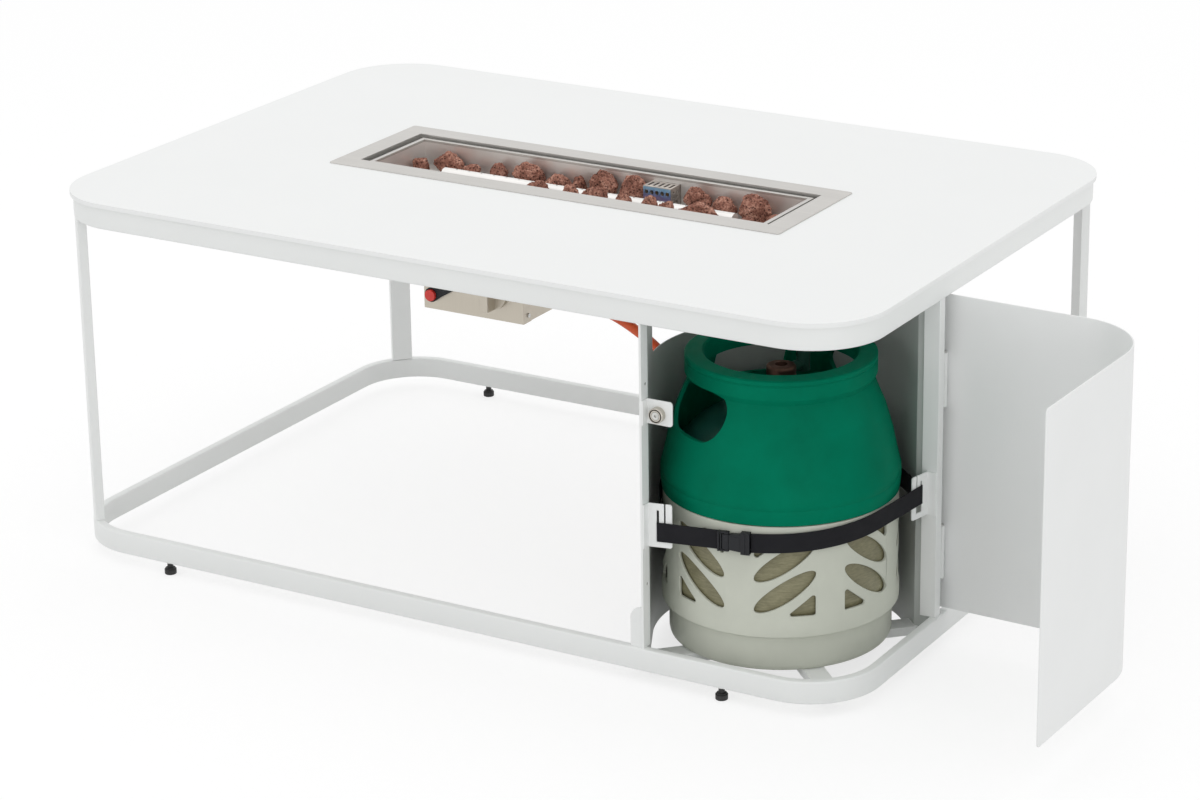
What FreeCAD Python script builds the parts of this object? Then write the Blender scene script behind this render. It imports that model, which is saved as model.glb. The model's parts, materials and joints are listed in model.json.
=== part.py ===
import FreeCAD, Part
import math
import os

# Fire pit table with a gas bottle bay behind a curved door.
# Millimetres. +X runs along the long side, +Y to the back, +Z up.
# The origin lies on the floor under the middle of the table top.

V = FreeCAD.Vector
UP = V(0, 0, 1)

# Table top and frame.
TOP_L = 1200.0            # table top, long side
TOP_W = 816.0             # table top, short side
TOP_T = 6.0               # table top, plate thickness
TOP_R = 102.0             # table top, corner radius in plan
TABLE_H = 510.0           # floor to the upper face of the top
RING_INSET = 4.0          # frame ring lies this far inside the top's edge
TUBE_T = 12.0             # ring tube, width in plan
TUBE_H = 30.0             # ring tube, height
TUBE_WALL = 1.5           # wall of the ring tubes and legs
FOOT_H = 16.0             # floor to the underside of the lower ring
LEG_W = 30.0              # leg tube, width along the ring
LEG_SET = 1.5             # leg tube, set back from the ring's outer face

# Feet.
FOOT_X = 423.0            # foot position from the middle, long way
FOOT_R = 8.0              # glide radius
GLIDE_H = 9.0             # glide height
STUD_R = 4.0              # adjusting stud radius
STUD_L = 27.0             # adjusting stud length above the glide
STUD_FIT = 0.06           # radial running clearance of a stud in its nut
NUT_R = 5.5               # rivet nut barrel radius
NUT_L = 11.0              # rivet nut barrel length inside the tube
NUT_FLANGE = 1.5          # rivet nut flange thickness
NUT_FIT = 0.05            # radial clearance of the barrel in the tube wall

# Fixing tabs that hold the top.
TAB_L = 30.0
TAB_D = 18.0
TAB_T = 3.0
TAB_X = 300.0             # tab position on the long rails
TAB_Y = 170.0             # tab position on the short rails
SCREW_R = 2.5
SCREW_HEAD_R = 4.5
SCREW_HEAD_H = 2.6
SCREW_DEPTH = 3.8         # screw length inside the top plate
SCREW_FIT = 0.2           # radial clearance of a screw in its hole

# Burner.
WELL_L = 630.0            # opening inside the rim
WELL_W = 148.0
RIM_FLANGE = 29.5         # rim, width beyond the casing
RIM_R = 4.0               # rim, small corner radius
RIM_T = 1.5               # rim and casing sheet
RIM_LAP = 3.0             # cut-out in the top stands clear of the casing
CASING_D = 70.0           # casing depth below the rim
TRAY_GAP_L = 8.0          # opening to the tray's lip, at each end
TRAY_GAP_W = 6.0          # opening to the tray's lip, at each side
TRAY_T = 1.2              # tray sheet
TRAY_TOP = 3.5            # tray edge below the rim's upper face
TRAY_DROP = 46.0          # tray's underside below the table's upper face
LIP = 5.0                 # folded lip around the tray's edge
PIPE_R = 11.0             # burner pipe, outer radius
PIPE_WALL = 1.5
PIPE_X0 = -228.0          # burner pipe, left end
PIPE_X1 = 225.0           # burner pipe, right end
PIPE_RISE = 16.8          # burner pipe's axis above the tray's floor
PORT_R = 1.4              # flame ports
PORT_STEP = 20.0
SADDLE_X = 190.0          # saddles under the burner pipe
SADDLE_T = 3.0
STANDOFF_R = 8.0
STANDOFF_X = 270.0
STANDOFF_Y = 45.0

# Pilot under its hood.
HOOD_X0 = 66.0            # left side
HOOD_L = 42.0
HOOD_D = 26.5
HOOD_H = 34.8             # height above the tray's floor
HOOD_T = 1.2
HOOD_HOLE_R = 2.9         # five holes in the front
HOOD_HOLE_STEP = 8.0
HOOD_HOLE_DOWN = 8.0      # front holes below the hood's upper face
HOOD_SLOT_W = 3.4         # slots in the upper face, over the holes
HOOD_SIDE_R = 1.9         # two columns of holes in each side
HOOD_SIDE_STEP = 7.0
PILOT_R = 4.0
PROBE_R = 1.6

# Control box under the casing.
BOX_X0 = -186.0           # left side
BOX_L = 155.0
BOX_Y0 = -120.0           # outer face of the front
BOX_D = 110.0
BOX_H = 107.0
BOX_T = 1.2
FLANGE_D = 20.0           # folded edge of the front around the sides
BOX_SCREW_IN = 12.0       # side screws behind the box's front
BOX_SCREW_LOW = 10.0      # side screws above the box's underside
BOX_SCREW_HIGH = 40.0
BOX_SCREW_R = 3.0
BOX_SCREW_H = 1.8
BUTTON_IN = 13.7          # button, in from the box's left side
BUTTON_UP = 21.5          # button, up from the box's underside
BUTTON_R = 8.0
BUTTON_H = 4.2
BUTTON_TRAVEL = 4.0
BEZEL_R = 10.0
BEZEL_T = 6.0
BEZEL_FLOOR = 1.5         # bezel's thickness behind the button
BEZEL_TAIL = 34.0         # pointed tail of the bezel
STEM_R = 3.0
RUN_FIT = 0.3             # open clearance between moving and fixed faces
KNOB_IN = 46.5            # knob, in from the box's right side
KNOB_UP = 39.0            # knob, up from the box's underside
KNOB_R = 24.0
KNOB_T = 6.0
GRIP_W = 13.5
GRIP_H = 18.0
SPINDLE_R = 3.0
SPINDLE_FIT = 0.05
VALVE_L = 44.0            # gas valve behind the knob
VALVE_D = 46.0
VALVE_H = 36.0
VALVE_SET = 4.0           # gas valve behind the box's front sheet
INLET_R = 6.0             # inlet elbow
SUPPLY_R = 5.0            # gas pipe up to the burner
SUPPLY_WALL = 1.0
SUPPLY_BEND = 9.0
SUPPLY_RISE = 22.0        # gas pipe's level run above the valve

# Posts of the bottle bay.
POST_A_IN = 286.0         # latch post's right face, in from the top's right edge
POST_A_SET = 3.0          # latch post behind the ring's outer face
POST_A_T = 3.0
POST_A_D = 16.0
GUSSET_L = 17.0
GUSSET_H = 54.0
GUSSET_R = 16.0
GUSSET_SET = 1.5          # gusset behind the post's front edge
POST_B_SET = 3.5          # hinge post inside the ring's outer face
POST_B_IN = 265.0         # hinge post, in from the top's front edge
POST_B_W = 21.5           # hinge post, an angle section
POST_B_D = 15.0
POST_B_T = 3.0

# Door.
DOOR_T = 2.0
DOOR_LAP = 38.0           # shut door, free edge past the latch post
DOOR_REAR = 20.0          # door sheet behind the hinge axis
DOOR_GAP = 2.5            # door clear of both rings
DOOR_CORNER = 6.0
DOOR_CORNER_REAR = 3.0
HINGE_SET = 8.0           # hinge axis inside the door's outer face
HINGE_PAST = 10.0         # hinge axis behind the hinge post
KNUCKLE_R = 4.0
PIN_R = 1.5
PIN_FIT = 0.05
PIN_HEAD_R = 2.8
PIN_HEAD_T = 1.5
LEAF_T = 2.0
LEAF_GAP = 0.6            # fixed leaf's plate clear of the moving knuckle
HINGE_UP = 44.0           # lower hinge above the door's lower edge
HINGE_DOWN = 146.5        # upper hinge's underside below the door's upper edge
HINGE_L = 71.0
HINGE_SPLIT = 35.5
HINGE_GAP = 0.2
REST_OPEN = 88.6          # the door stands open by this angle

# Latch.
LATCH_DOWN = 112.5        # latch's middle below the door's upper edge
LATCH_H = 32.0
LATCH_W = 37.0
LATCH_CORNER = 4.0
PLATE_T = 2.0             # bent plates on the posts
PLATE_SET = 14.0          # latch plate behind the door's outer face
MAGNET_R = 10.0
MAGNET_T = 8.0
MAGNET_IN = 17.6          # magnet, right of the latch post
MAGNET_DOWN = 2.0         # magnet below the latch's middle
STRIKER_R = 9.0
STRIKER_T = 3.2
LATCH_SCREW_R = 2.5
LATCH_HEAD_R = 5.0
LATCH_NUT_R = 4.5
LATCH_NUT_T = 4.0

# Strap and its two brackets.
BR_W = 31.5               # slotted plate, width from its bend
BR_H = 58.0               # slotted plate, height
BR_CORNER = 3.0
BR_TILT = 12.0            # slotted plate leans towards the bottle
BR_UP = 152.0             # left bracket above the bottle's foot
BR_STEP = 6.0             # right bracket above the left one
BR_B_SET = 9.0            # right bracket's bend, right of the post's edge
BR_B_FLANGE = 11.0
SLOT_U = 13.0             # strap slot from the bend
SLOT_W = 3.0
SLOT_Z0 = 7.5
SLOT_Z1 = 49.0
SLIT_U = 22.0             # open slit from the bend
SLIT_W = 2.0
FINGER_Z = 20.0
STRAP_W = 25.0
STRAP_T = 1.5
STRAP_GAP = 0.3           # strap clear of the shroud
STRAP_OFF = 0.4           # strap clear of the slotted plates
STRAP_LEFT_UP = 21.0      # strap's middle above the left bracket's lower edge
STRAP_FRONT_UP = 175.3    # strap's middle above the bottle's foot, at the front
STRAP_RIGHT_UP = 31.5     # strap's middle above the right bracket's lower edge
STRAP_FRONT_AZ = -65.0
BUCKLE_S = 101.0          # buckle centre along the strap from the left slot
BUCKLE_L = 42.0
BUCKLE_H = 29.0
BUCKLE_OUT = 6.0
BUCKLE_IN = 1.5

# Bottle. Its radii are about its own axis, its levels above its foot.
BOT_IN_X = 189.0          # bottle's axis, in from the top's right edge
BOT_IN_Y = 188.0          # bottle's axis, in from the top's front edge
JACKET_R = 149.5
JACKET_WALL = 4.0
JACKET_H = 195.5
BAND_PROUD = 1.5          # thick band stands out from the jacket
BAND_UP = 48.7
BAND_H = 20.0
BASE_R = 142.0
VESSEL_FIT = 1.0          # vessel clear of the jacket
VESSEL_WALL = 6.0
VESSEL_LOW = 82.0         # level where the vessel's lower end begins to curve in
VESSEL_HIGH = 204.0       # level where the vessel's upper end begins to curve in
NECK_R = 26.0
NECK_UP = 304.0
SHROUD_R = 152.0          # shroud at its widest
SHROUD_WALL = 5.0
SHROUD_JOINT = 1.5        # shroud above the jacket
SHROUD_H = 178.0
COLLAR_R = 121.0
COLLAR_H = 26.0
MOUTH_R = 97.0
VENT_COUNT = 8
VENT_AZ = -60.0           # first vent field
VENT_L = 91.0
VENT_W = 26.0
VENT_TILT = 34.5
VENT_LOW = 108.0          # level of the lower ovals
VENT_HIGH = 149.0         # level of the upper ovals
TRI_Y = 38.0              # small triangles beside the ovals
TRI_Z = 52.5
TRI_L = 37.0
TRI_H = 30.0
TRI_CORNER = 3.0
WINDOW_AZ = -122.0        # hand hole, the other one is opposite
WINDOW_SPAN = 50.0
WINDOW_UP = 88.0          # hand hole above the shroud's lower edge
WINDOW_DOWN = 27.0        # all three openings end this far below the mouth
WINDOW_R = 30.0           # hand hole's corner radius
REAR_AZ = 139.5           # opening behind the valve
REAR_SPAN = 43.0
REAR_UP = 105.0
REAR_R = 12.0
VALVE_R = 19.0            # valve in the bottle's neck
VALVE_LONG = 28.0
VALVE_SINK = 20.0         # its top below the shroud's
VALVE_PORT_R = 8.0
VALVE_PORT_D = 9.0

# Regulator and hose.
REG_DX = 9.0              # regulator's axis from the bottle's
REG_DY = 42.0
REG_R = 20.0
REG_H = 36.0
REG_OVER = 13.0           # regulator's underside above the valve's top
REG_PLUG_DOWN = 10.0      # plug's axis below the valve's top
REG_NECK_R = 9.0
REG_PLUG_R = 7.0
REG_STUB_R = 6.0
REG_STUB_L = 14.0
LEVER_L = 34.0
LEVER_T = 6.0
LEVER_HUB_R = 10.0
LEVER_TIP_R = 5.0
AXLE_R = 3.0
HOSE_R = 6.5
SPIGOT_R = 5.0
SPIGOT_L = 12.0
CLAMP_T = 1.2
CLAMP_W = 9.0
CLAMP_BACK = 3.0          # clamp behind the hose's end
CLAMP_FIT = 0.1
HOSE = [(8, -104, 372), (66, -162, 390), (140, -182, 401), (230, -162, 335), (226, -140, 255),
        (236, -92, 188), (244, 0, 168), (250, 72, 228), (262, 66, 322), (284, 2, 392),
        (330, -76, 424), (392, -146, 420)]

# Bars under the bottle.
BAR_W = 28.0
BAR_H = 12.0
BAR_T = 2.0
BAR_IN = 322.8            # long bar's middle line from the top's square corner, both ways added
WELD_GAP = 0.1            # between the bars where a weld bead joins them
SHORT_END = 90.0          # short bar ends this far behind the bottle's axis

# Panel behind the bottle.
PANEL_CLEAR = 11.5        # shroud to the panel's inner face
PANEL_T = 1.5
PANEL_UP = 2.0            # panel above the lower ring, where it passes over it
PANEL_DOWN = 9.0          # panel below the upper ring
PANEL_TURN = 45.0         # angle where its round stretch ends
PANEL_CLEARANCE = 1.0     # panel clear of the bars and of the burner casing
DIP_A0 = 130.0            # lowered stretch of its upper edge, from this angle
DIP_A1 = 199.0            # to this one
DIP_DOWN = 87.0           # lowered stretch below the upper ring
DIP_R = 12.0
PANEL_SCREW_R = 1.9
PANEL_SCREW_FIT = 0.2
PANEL_SCREW_HEAD_R = 3.6
PANEL_SCREW_HEAD_H = 2.2
GROMMET_R = 14.0
GROMMET_BORE = 9.5
GROMMET_NECK = 11.5
GROMMET_T = 6.0
GROMMET_FIT = 0.1

# Lava rocks: middle x, y and the three radii.
ROCKS = [(-287, 30, 13, 13, 14), (-250, 44, 23, 17, 19), (-211, 43, 13, 14, 13),
         (-170, 46, 12, 13, 16), (-118, 44, 24, 17, 20), (-73, 42, 20, 16, 15),
         (-41, 45, 10, 11, 16), (-2, 45, 20, 16, 22.5), (45, 45, 20, 16, 22.5),
         (144, 45, 20, 16, 21), (186, 44, 18, 16, 17), (234, 42, 26, 19, 22),
         (277, 18, 14, 14, 15), (-262, -38, 14, 16, 16), (-220, -38, 18, 16, 15),
         (-180, -36, 14, 14, 14), (-130, -38, 20, 17, 16), (-63, -27, 18, 15, 20.5),
         (-13, -27, 15, 15, 21), (29, -27, 25, 15, 22.5), (70, -27, 13, 15, 21),
         (111, -27, 14, 15, 22.5), (136, -27, 11, 15, 20.5), (183, -27, 36, 15, 22.5),
         (256, -27, 18, 17, 18)]
ROCK_SEAT = 1.0           # rocks are flattened where they lie

# Derived: table top and frame.
HALF_L = TOP_L / 2
HALF_W = TOP_W / 2
RING_X = HALF_L - RING_INSET
RING_Y = HALF_W - RING_INSET
RING_RO = TOP_R - RING_INSET
RING_RI = RING_RO - TUBE_T
BEND_X = HALF_L - TOP_R
BEND_Y = HALF_W - TOP_R
TOP_Z0 = TABLE_H - TOP_T
HIGH_Z0 = TOP_Z0 - TUBE_H
LOW_Z0 = FOOT_H
LOW_Z1 = FOOT_H + TUBE_H
FOOT_Y = RING_Y - TUBE_T / 2

# Derived: burner and control box.
CASING_L = WELL_L + 2 * RIM_T
CASING_W = WELL_W + 2 * RIM_T
CASING_Z0 = TABLE_H - CASING_D
RIM_L = CASING_L + 2 * RIM_FLANGE
RIM_W = CASING_W + 2 * RIM_FLANGE
TRAY_L = WELL_L - 2 * TRAY_GAP_L
TRAY_W = WELL_W - 2 * TRAY_GAP_W
TRAY_Z1 = TABLE_H + RIM_T - TRAY_TOP
TRAY_FLOOR = TABLE_H - TRAY_DROP
TRAY_IN = TRAY_FLOOR + TRAY_T
PIPE_Z = TRAY_IN + PIPE_RISE
HOOD_X1 = HOOD_X0 + HOOD_L
HOOD_Y1 = TRAY_W / 2 - LIP - TRAY_T - RUN_FIT
HOOD_Y0 = HOOD_Y1 - HOOD_D
HOOD_TOP = TRAY_IN + HOOD_H
BOX_X1 = BOX_X0 + BOX_L
BOX_Y1 = BOX_Y0 + BOX_D
BOX_Z1 = CASING_Z0
BOX_Z0 = BOX_Z1 - BOX_H
BUTTON_X = BOX_X0 + BUTTON_IN
BUTTON_Z = BOX_Z0 + BUTTON_UP
KNOB_X = BOX_X1 - KNOB_IN
KNOB_Z = BOX_Z0 + KNOB_UP
SUPPLY_Y = BOX_Y0 + VALVE_D + VALVE_SET
SUPPLY_Z = KNOB_Z + VALVE_H / 2 + SUPPLY_RISE
INLET_Y = BOX_Y0 + VALVE_D - 2 * INLET_R

# Derived: bay, door and latch.
POST_A_X = HALF_L - POST_A_IN
POST_A_Y0 = POST_A_SET - RING_Y
POST_A_Y1 = POST_A_Y0 + POST_A_D
POST_B_X1 = RING_X - POST_B_SET
POST_B_X0 = POST_B_X1 - POST_B_W
POST_B_Y0 = POST_B_IN - HALF_W
POST_B_Y1 = POST_B_Y0 + POST_B_D
DOOR_X = RING_X
DOOR_Y = -RING_Y
DOOR_R = RING_RO
DOOR_FREE_X = POST_A_X - DOOR_LAP
DOOR_Z0 = LOW_Z1 + DOOR_GAP
DOOR_Z1 = HIGH_Z0 - DOOR_GAP
HINGE_X = DOOR_X - HINGE_SET
HINGE_Y = POST_B_Y1 + HINGE_PAST
LATCH_Z = DOOR_Z1 - LATCH_DOWN
LATCH_Y = DOOR_Y + PLATE_SET
MAGNET_X = POST_A_X + MAGNET_IN
MAGNET_Z = LATCH_Z - MAGNET_DOWN
GUSSET_Y0 = POST_A_Y0 + GUSSET_SET
GUSSET_Y1 = GUSSET_Y0 + POST_A_T
PANEL_SCREW_Y = (GUSSET_Y1 + RUN_FIT + POST_A_Y1) / 2

# Derived: bottle, strap, bars and panel.
BOT_X = HALF_L - BOT_IN_X
BOT_Y = BOT_IN_Y - HALF_W
BOT_Z = LOW_Z0 + BAR_H
JACKET_TOP = BOT_Z + JACKET_H
VESSEL_R = JACKET_R - JACKET_WALL - VESSEL_FIT
SHROUD_Z = JACKET_TOP + SHROUD_JOINT
SHROUD_TOP = SHROUD_Z + SHROUD_H
WINDOW_Z0 = SHROUD_Z + WINDOW_UP
WINDOW_Z1 = SHROUD_TOP - WINDOW_DOWN
REAR_Z0 = SHROUD_Z + REAR_UP
VALVE_TOP = SHROUD_TOP - VALVE_SINK
REG_X = BOT_X + REG_DX
REG_Y = BOT_Y + REG_DY
REG_Z0 = VALVE_TOP + REG_OVER
REG_Z1 = REG_Z0 + REG_H
REG_PLUG_Z = VALVE_TOP - REG_PLUG_DOWN
BR_Z_LEFT = BOT_Z + BR_UP
BR_Z_RIGHT = BR_Z_LEFT + BR_STEP
STRAP_Z_LEFT = BR_Z_LEFT + STRAP_LEFT_UP
STRAP_Z_FRONT = BOT_Z + STRAP_FRONT_UP
STRAP_Z_RIGHT = BR_Z_RIGHT + STRAP_RIGHT_UP
STRAP_R = SHROUD_R + STRAP_GAP
BAR_LINE = HALF_L + HALF_W - BAR_IN
PANEL_R = SHROUD_R + PANEL_CLEAR
PANEL_RO = PANEL_R + PANEL_T
PANEL_MID = PANEL_R + PANEL_T / 2
PANEL_LOW = LOW_Z1 + PANEL_UP
PANEL_Z1 = HIGH_Z0 - PANEL_DOWN
BAR_BACK = BAR_LINE - (BAR_W / 2 + PANEL_CLEARANCE) * math.sqrt(2)


def box(x0, x1, y0, y1, z0, z1):
    return Part.makeBox(x1 - x0, y1 - y0, z1 - z0, V(x0, y0, z0))


def rod(x, y, z0, z1, r):
    return Part.makeCylinder(r, z1 - z0, V(x, y, z0))


def rod_along(p, q, r):
    return Part.makeCylinder(r, q.sub(p).Length, p, q.sub(p))


def rod_y(x, z, y0, y1, r):
    return Part.makeCylinder(r, y1 - y0, V(x, y0, z), V(0, 1, 0))


def rod_x(y, z, x0, x1, r):
    return Part.makeCylinder(r, x1 - x0, V(x0, y, z), V(1, 0, 0))


def prism(points, z0, z1):
    """Upright prism on a plan outline."""
    ring = [V(x, y, z0) for x, y in points]
    return Part.Face(Part.makePolygon(ring + ring[:1])).extrude(V(0, 0, z1 - z0))


def rounded(length, width, radius, z0, z1):
    """Upright block about the Z axis with rounded corners in plan."""
    block = box(-length / 2, length / 2, -width / 2, width / 2, z0, z1)
    edges = [e for e in block.Edges if abs(e.tangentAt(e.FirstParameter).z) > 0.9]
    return block.makeFillet(radius, edges)


def sector(cx, cy, r0, r1, a0, a1, z0, z1):
    """Part of an upright tube wall between two angles in degrees."""
    outer = Part.makeCylinder(r1, z1 - z0, V(cx, cy, z0), UP, a1 - a0)
    inner = Part.makeCylinder(r0, z1 - z0, V(cx, cy, z0), UP, a1 - a0)
    wall = outer.cut(inner)
    wall.rotate(V(cx, cy, 0), UP, a0)
    return wall


def lathe(points, cx, cy):
    """Turned solid from a closed list of radius and height."""
    ring = [V(cx + r, cy, z) for r, z in points]
    face = Part.Face(Part.makePolygon(ring + ring[:1]))
    return face.revolve(V(cx, cy, 0), UP, 360)


def strip(p, q, half, z0, z1):
    """Upright plate whose middle line in plan goes from p to q."""
    d = V(q[0] - p[0], q[1] - p[1], 0)
    d.normalize()
    n = V(-d.y * half, d.x * half, 0)
    corners = [(p[0] + n.x, p[1] + n.y), (q[0] + n.x, q[1] + n.y),
               (q[0] - n.x, q[1] - n.y), (p[0] - n.x, p[1] - n.y)]
    return prism(corners, z0, z1)


def polar(r, degrees):
    """Plan point about the bottle's axis."""
    a = math.radians(degrees)
    return (BOT_X + r * math.cos(a), BOT_Y + r * math.sin(a))


def tangent_angle(point, r, side):
    """Angle about the bottle where a line from the point touches radius r."""
    dx = point[0] - BOT_X
    dy = point[1] - BOT_Y
    turn = math.degrees(math.acos(r / math.hypot(dx, dy)))
    return math.degrees(math.atan2(dy, dx)) + side * turn


def save(name, solids):
    shape = solids[0] if len(solids) == 1 else Part.makeCompound(solids)
    shape.exportStep("parts/" + name + ".step")
    print(name, len(shape.Solids), "solids,", round(shape.Volume), "mm3", shape.isValid())


def both(solid):
    """The solid and its mirror image across the middle, front to back."""
    return [solid, solid.mirror(V(0, 0, 0), V(0, 1, 0))]


def four(solid):
    twins = both(solid)
    return twins + [s.mirror(V(0, 0, 0), V(1, 0, 0)) for s in twins]


# Table top and frame.

def tab_places():
    """Middle of each tab and the direction towards the rail it is on."""
    y = RING_Y - TUBE_T
    x = RING_X - TUBE_T
    rows = [(sx * TAB_X, sy * y, 0, sy) for sx in (-1, 1) for sy in (-1, 1)]
    rows += [(sx * x, sy * TAB_Y, sx, 0) for sx in (-1, 1) for sy in (-1, 1)]
    return rows


def tab_middle(row):
    x, y, nx, ny = row
    return (x - nx * TAB_D / 2, y - ny * TAB_D / 2)


def table_top():
    slab = rounded(TOP_L, TOP_W, TOP_R, TOP_Z0, TABLE_H)
    cut_l = CASING_L + 2 * RIM_LAP
    cut_w = CASING_W + 2 * RIM_LAP
    slab = slab.cut(box(-cut_l / 2, cut_l / 2, -cut_w / 2, cut_w / 2, TOP_Z0 - 1, TABLE_H + 1))
    for row in tab_places():
        x, y = tab_middle(row)
        slab = slab.cut(rod(x, y, TOP_Z0 - 1, TOP_Z0 + SCREW_DEPTH + SCREW_FIT, SCREW_R))
    return slab


def top_tabs():
    tabs = []
    for row in tab_places():
        x, y = tab_middle(row)
        along_x = row[2] == 0
        dx = TAB_L / 2 if along_x else TAB_D / 2
        dy = TAB_D / 2 if along_x else TAB_L / 2
        tab = box(x - dx, x + dx, y - dy, y + dy, TOP_Z0 - TAB_T, TOP_Z0)
        tabs.append(tab.cut(rod(x, y, TOP_Z0 - TAB_T - 1, TOP_Z0 + 1, SCREW_R + SCREW_FIT)))
    return tabs


def top_screws():
    screws = []
    for row in tab_places():
        x, y = tab_middle(row)
        shank = rod(x, y, TOP_Z0 - TAB_T, TOP_Z0 + SCREW_DEPTH, SCREW_R)
        head = rod(x, y, TOP_Z0 - TAB_T - SCREW_HEAD_H, TOP_Z0 - TAB_T, SCREW_HEAD_R)
        socket = rod(x, y, TOP_Z0 - TAB_T - SCREW_HEAD_H - 1, TOP_Z0 - TAB_T - 1, SCREW_R * 0.6)
        screws.append(shank.fuse(head).cut(socket).removeSplitter())
    return screws


def long_rails(z0, holes):
    w = TUBE_WALL
    outer = box(-BEND_X, BEND_X, RING_Y - TUBE_T, RING_Y, z0, z0 + TUBE_H)
    inner = box(-BEND_X - 1, BEND_X + 1, RING_Y - TUBE_T + w, RING_Y - w, z0 + w, z0 + TUBE_H - w)
    rail = outer.cut(inner)
    if holes:
        for x in (-FOOT_X, FOOT_X):
            rail = rail.cut(rod(x, FOOT_Y, z0 - 1, z0 + w + 0.5, NUT_R + NUT_FIT))
    return both(rail)


def short_rails(z0):
    w = TUBE_WALL
    outer = box(RING_X - TUBE_T, RING_X, -BEND_Y, BEND_Y, z0, z0 + TUBE_H)
    inner = box(RING_X - TUBE_T + w, RING_X - w, -BEND_Y - 1, BEND_Y + 1, z0 + w, z0 + TUBE_H - w)
    rail = outer.cut(inner)
    return [rail, rail.mirror(V(0, 0, 0), V(1, 0, 0))]


def corner_bends(z0):
    w = TUBE_WALL
    bend = sector(BEND_X, BEND_Y, RING_RI, RING_RO, 0, 90, z0, z0 + TUBE_H)
    hollow = sector(BEND_X, BEND_Y, RING_RI + w, RING_RO - w, -5, 95, z0 + w, z0 + TUBE_H - w)
    return four(bend.cut(hollow))


def leg(sx, sy):
    w = TUBE_WALL
    r1 = RING_RO - LEG_SET
    r0 = r1 - TUBE_T
    h = LEG_W / 2
    outer = box(r0, r1, -h, h, LOW_Z1, HIGH_Z0)
    inner = box(r0 + w, r1 - w, -h + w, h - w, LOW_Z1 - 1, HIGH_Z0 + 1)
    tube = outer.cut(inner)
    tube.rotate(V(0, 0, 0), UP, math.degrees(math.atan2(sy, sx)))
    tube.translate(V(sx * BEND_X, sy * BEND_Y, 0))
    return [tube]


def foot(sx, sy):
    x = sx * FOOT_X
    y = sy * FOOT_Y
    glide = rod(x, y, 0, GLIDE_H - 2, FOOT_R)
    glide = glide.makeFillet(1.2, [glide.Edges[2]])
    rim = rod(x, y, GLIDE_H - 2, GLIDE_H, FOOT_R - 1.5)
    stud = rod(x, y, GLIDE_H - 1, GLIDE_H + STUD_L, STUD_R)
    return [glide.fuse(rim).fuse(stud).removeSplitter()]


def foot_nuts():
    z = LOW_Z0
    nut = rod(FOOT_X, FOOT_Y, z, z + NUT_L, NUT_R)
    seat = z + TUBE_WALL
    width = TUBE_T / 2 - TUBE_WALL
    flange = box(FOOT_X - 7, FOOT_X + 7, FOOT_Y - width, FOOT_Y + width, seat, seat + NUT_FLANGE)
    barrel = nut.common(box(FOOT_X - 9, FOOT_X + 9, FOOT_Y - width, FOOT_Y + width, seat, seat + NUT_L))
    neck = nut.common(box(FOOT_X - 9, FOOT_X + 9, FOOT_Y - 9, FOOT_Y + 9, z, seat))
    bore = rod(FOOT_X, FOOT_Y, z - 1, z + NUT_L + 1, STUD_R + STUD_FIT)
    return four(barrel.fuse(flange).fuse(neck).cut(bore).removeSplitter())


# Burner.

def burner_casing():
    z0 = CASING_Z0
    rim = rounded(RIM_L, RIM_W, RIM_R, TABLE_H, TABLE_H + RIM_T)
    body = box(-CASING_L / 2, CASING_L / 2, -CASING_W / 2, CASING_W / 2, z0, TABLE_H + RIM_T)
    well = box(-WELL_L / 2, WELL_L / 2, -WELL_W / 2, WELL_W / 2, z0 + RIM_T, TABLE_H + RIM_T + 1)
    casing = rim.fuse(body).cut(well)
    casing = casing.cut(rod(KNOB_X, 0, z0 - 1, z0 + RIM_T + 1, SUPPLY_R + RUN_FIT))
    return [casing.removeSplitter()]


def burner_tray():
    half_l = TRAY_L / 2
    half_w = TRAY_W / 2
    t = TRAY_T
    wall_l = half_l - LIP
    wall_w = half_w - LIP
    body = box(-wall_l, wall_l, -wall_w, wall_w, TRAY_FLOOR, TRAY_Z1)
    lip = box(-half_l, half_l, -half_w, half_w, TRAY_Z1 - t, TRAY_Z1)
    well = box(-wall_l + t, wall_l - t, -wall_w + t, wall_w - t, TRAY_IN, TRAY_Z1 + 1)
    tray = body.fuse(lip).cut(well)
    tray = tray.cut(rod(KNOB_X, 0, TRAY_FLOOR - 1, TRAY_IN + 1, SUPPLY_R + RUN_FIT))
    x = (HOOD_X0 + HOOD_X1) / 2
    y = (HOOD_Y0 + HOOD_Y1) / 2
    tray = tray.cut(rod(x, y, TRAY_FLOOR - 1, TRAY_IN + 1, PILOT_R - 1))
    return [tray.removeSplitter()]


def tray_standoffs():
    z0 = CASING_Z0 + RIM_T
    post = rod(STANDOFF_X, STANDOFF_Y, z0, TRAY_FLOOR, STANDOFF_R)
    post = post.cut(rod(STANDOFF_X, STANDOFF_Y, z0 - 1, TRAY_FLOOR + 1, STANDOFF_R / 2))
    return four(post)


def burner_pipe():
    pipe = rod_x(0, PIPE_Z, PIPE_X0, PIPE_X1, PIPE_R)
    bore = rod_x(0, PIPE_Z, PIPE_X0 + 2, PIPE_X1 - 2, PIPE_R - PIPE_WALL)
    pipe = pipe.cut(bore)
    pipe = pipe.cut(rod(KNOB_X, 0, PIPE_Z - PIPE_R - 1, PIPE_Z, SUPPLY_R + RUN_FIT))
    count = int((PIPE_X1 - PIPE_X0 - PORT_STEP) / PORT_STEP)
    for i in range(count):
        x = PIPE_X0 + PORT_STEP * (i + 1)
        pipe = pipe.cut(rod(x, 0, PIPE_Z, PIPE_Z + PIPE_R + 1, PORT_R))
    return [pipe]


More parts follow.
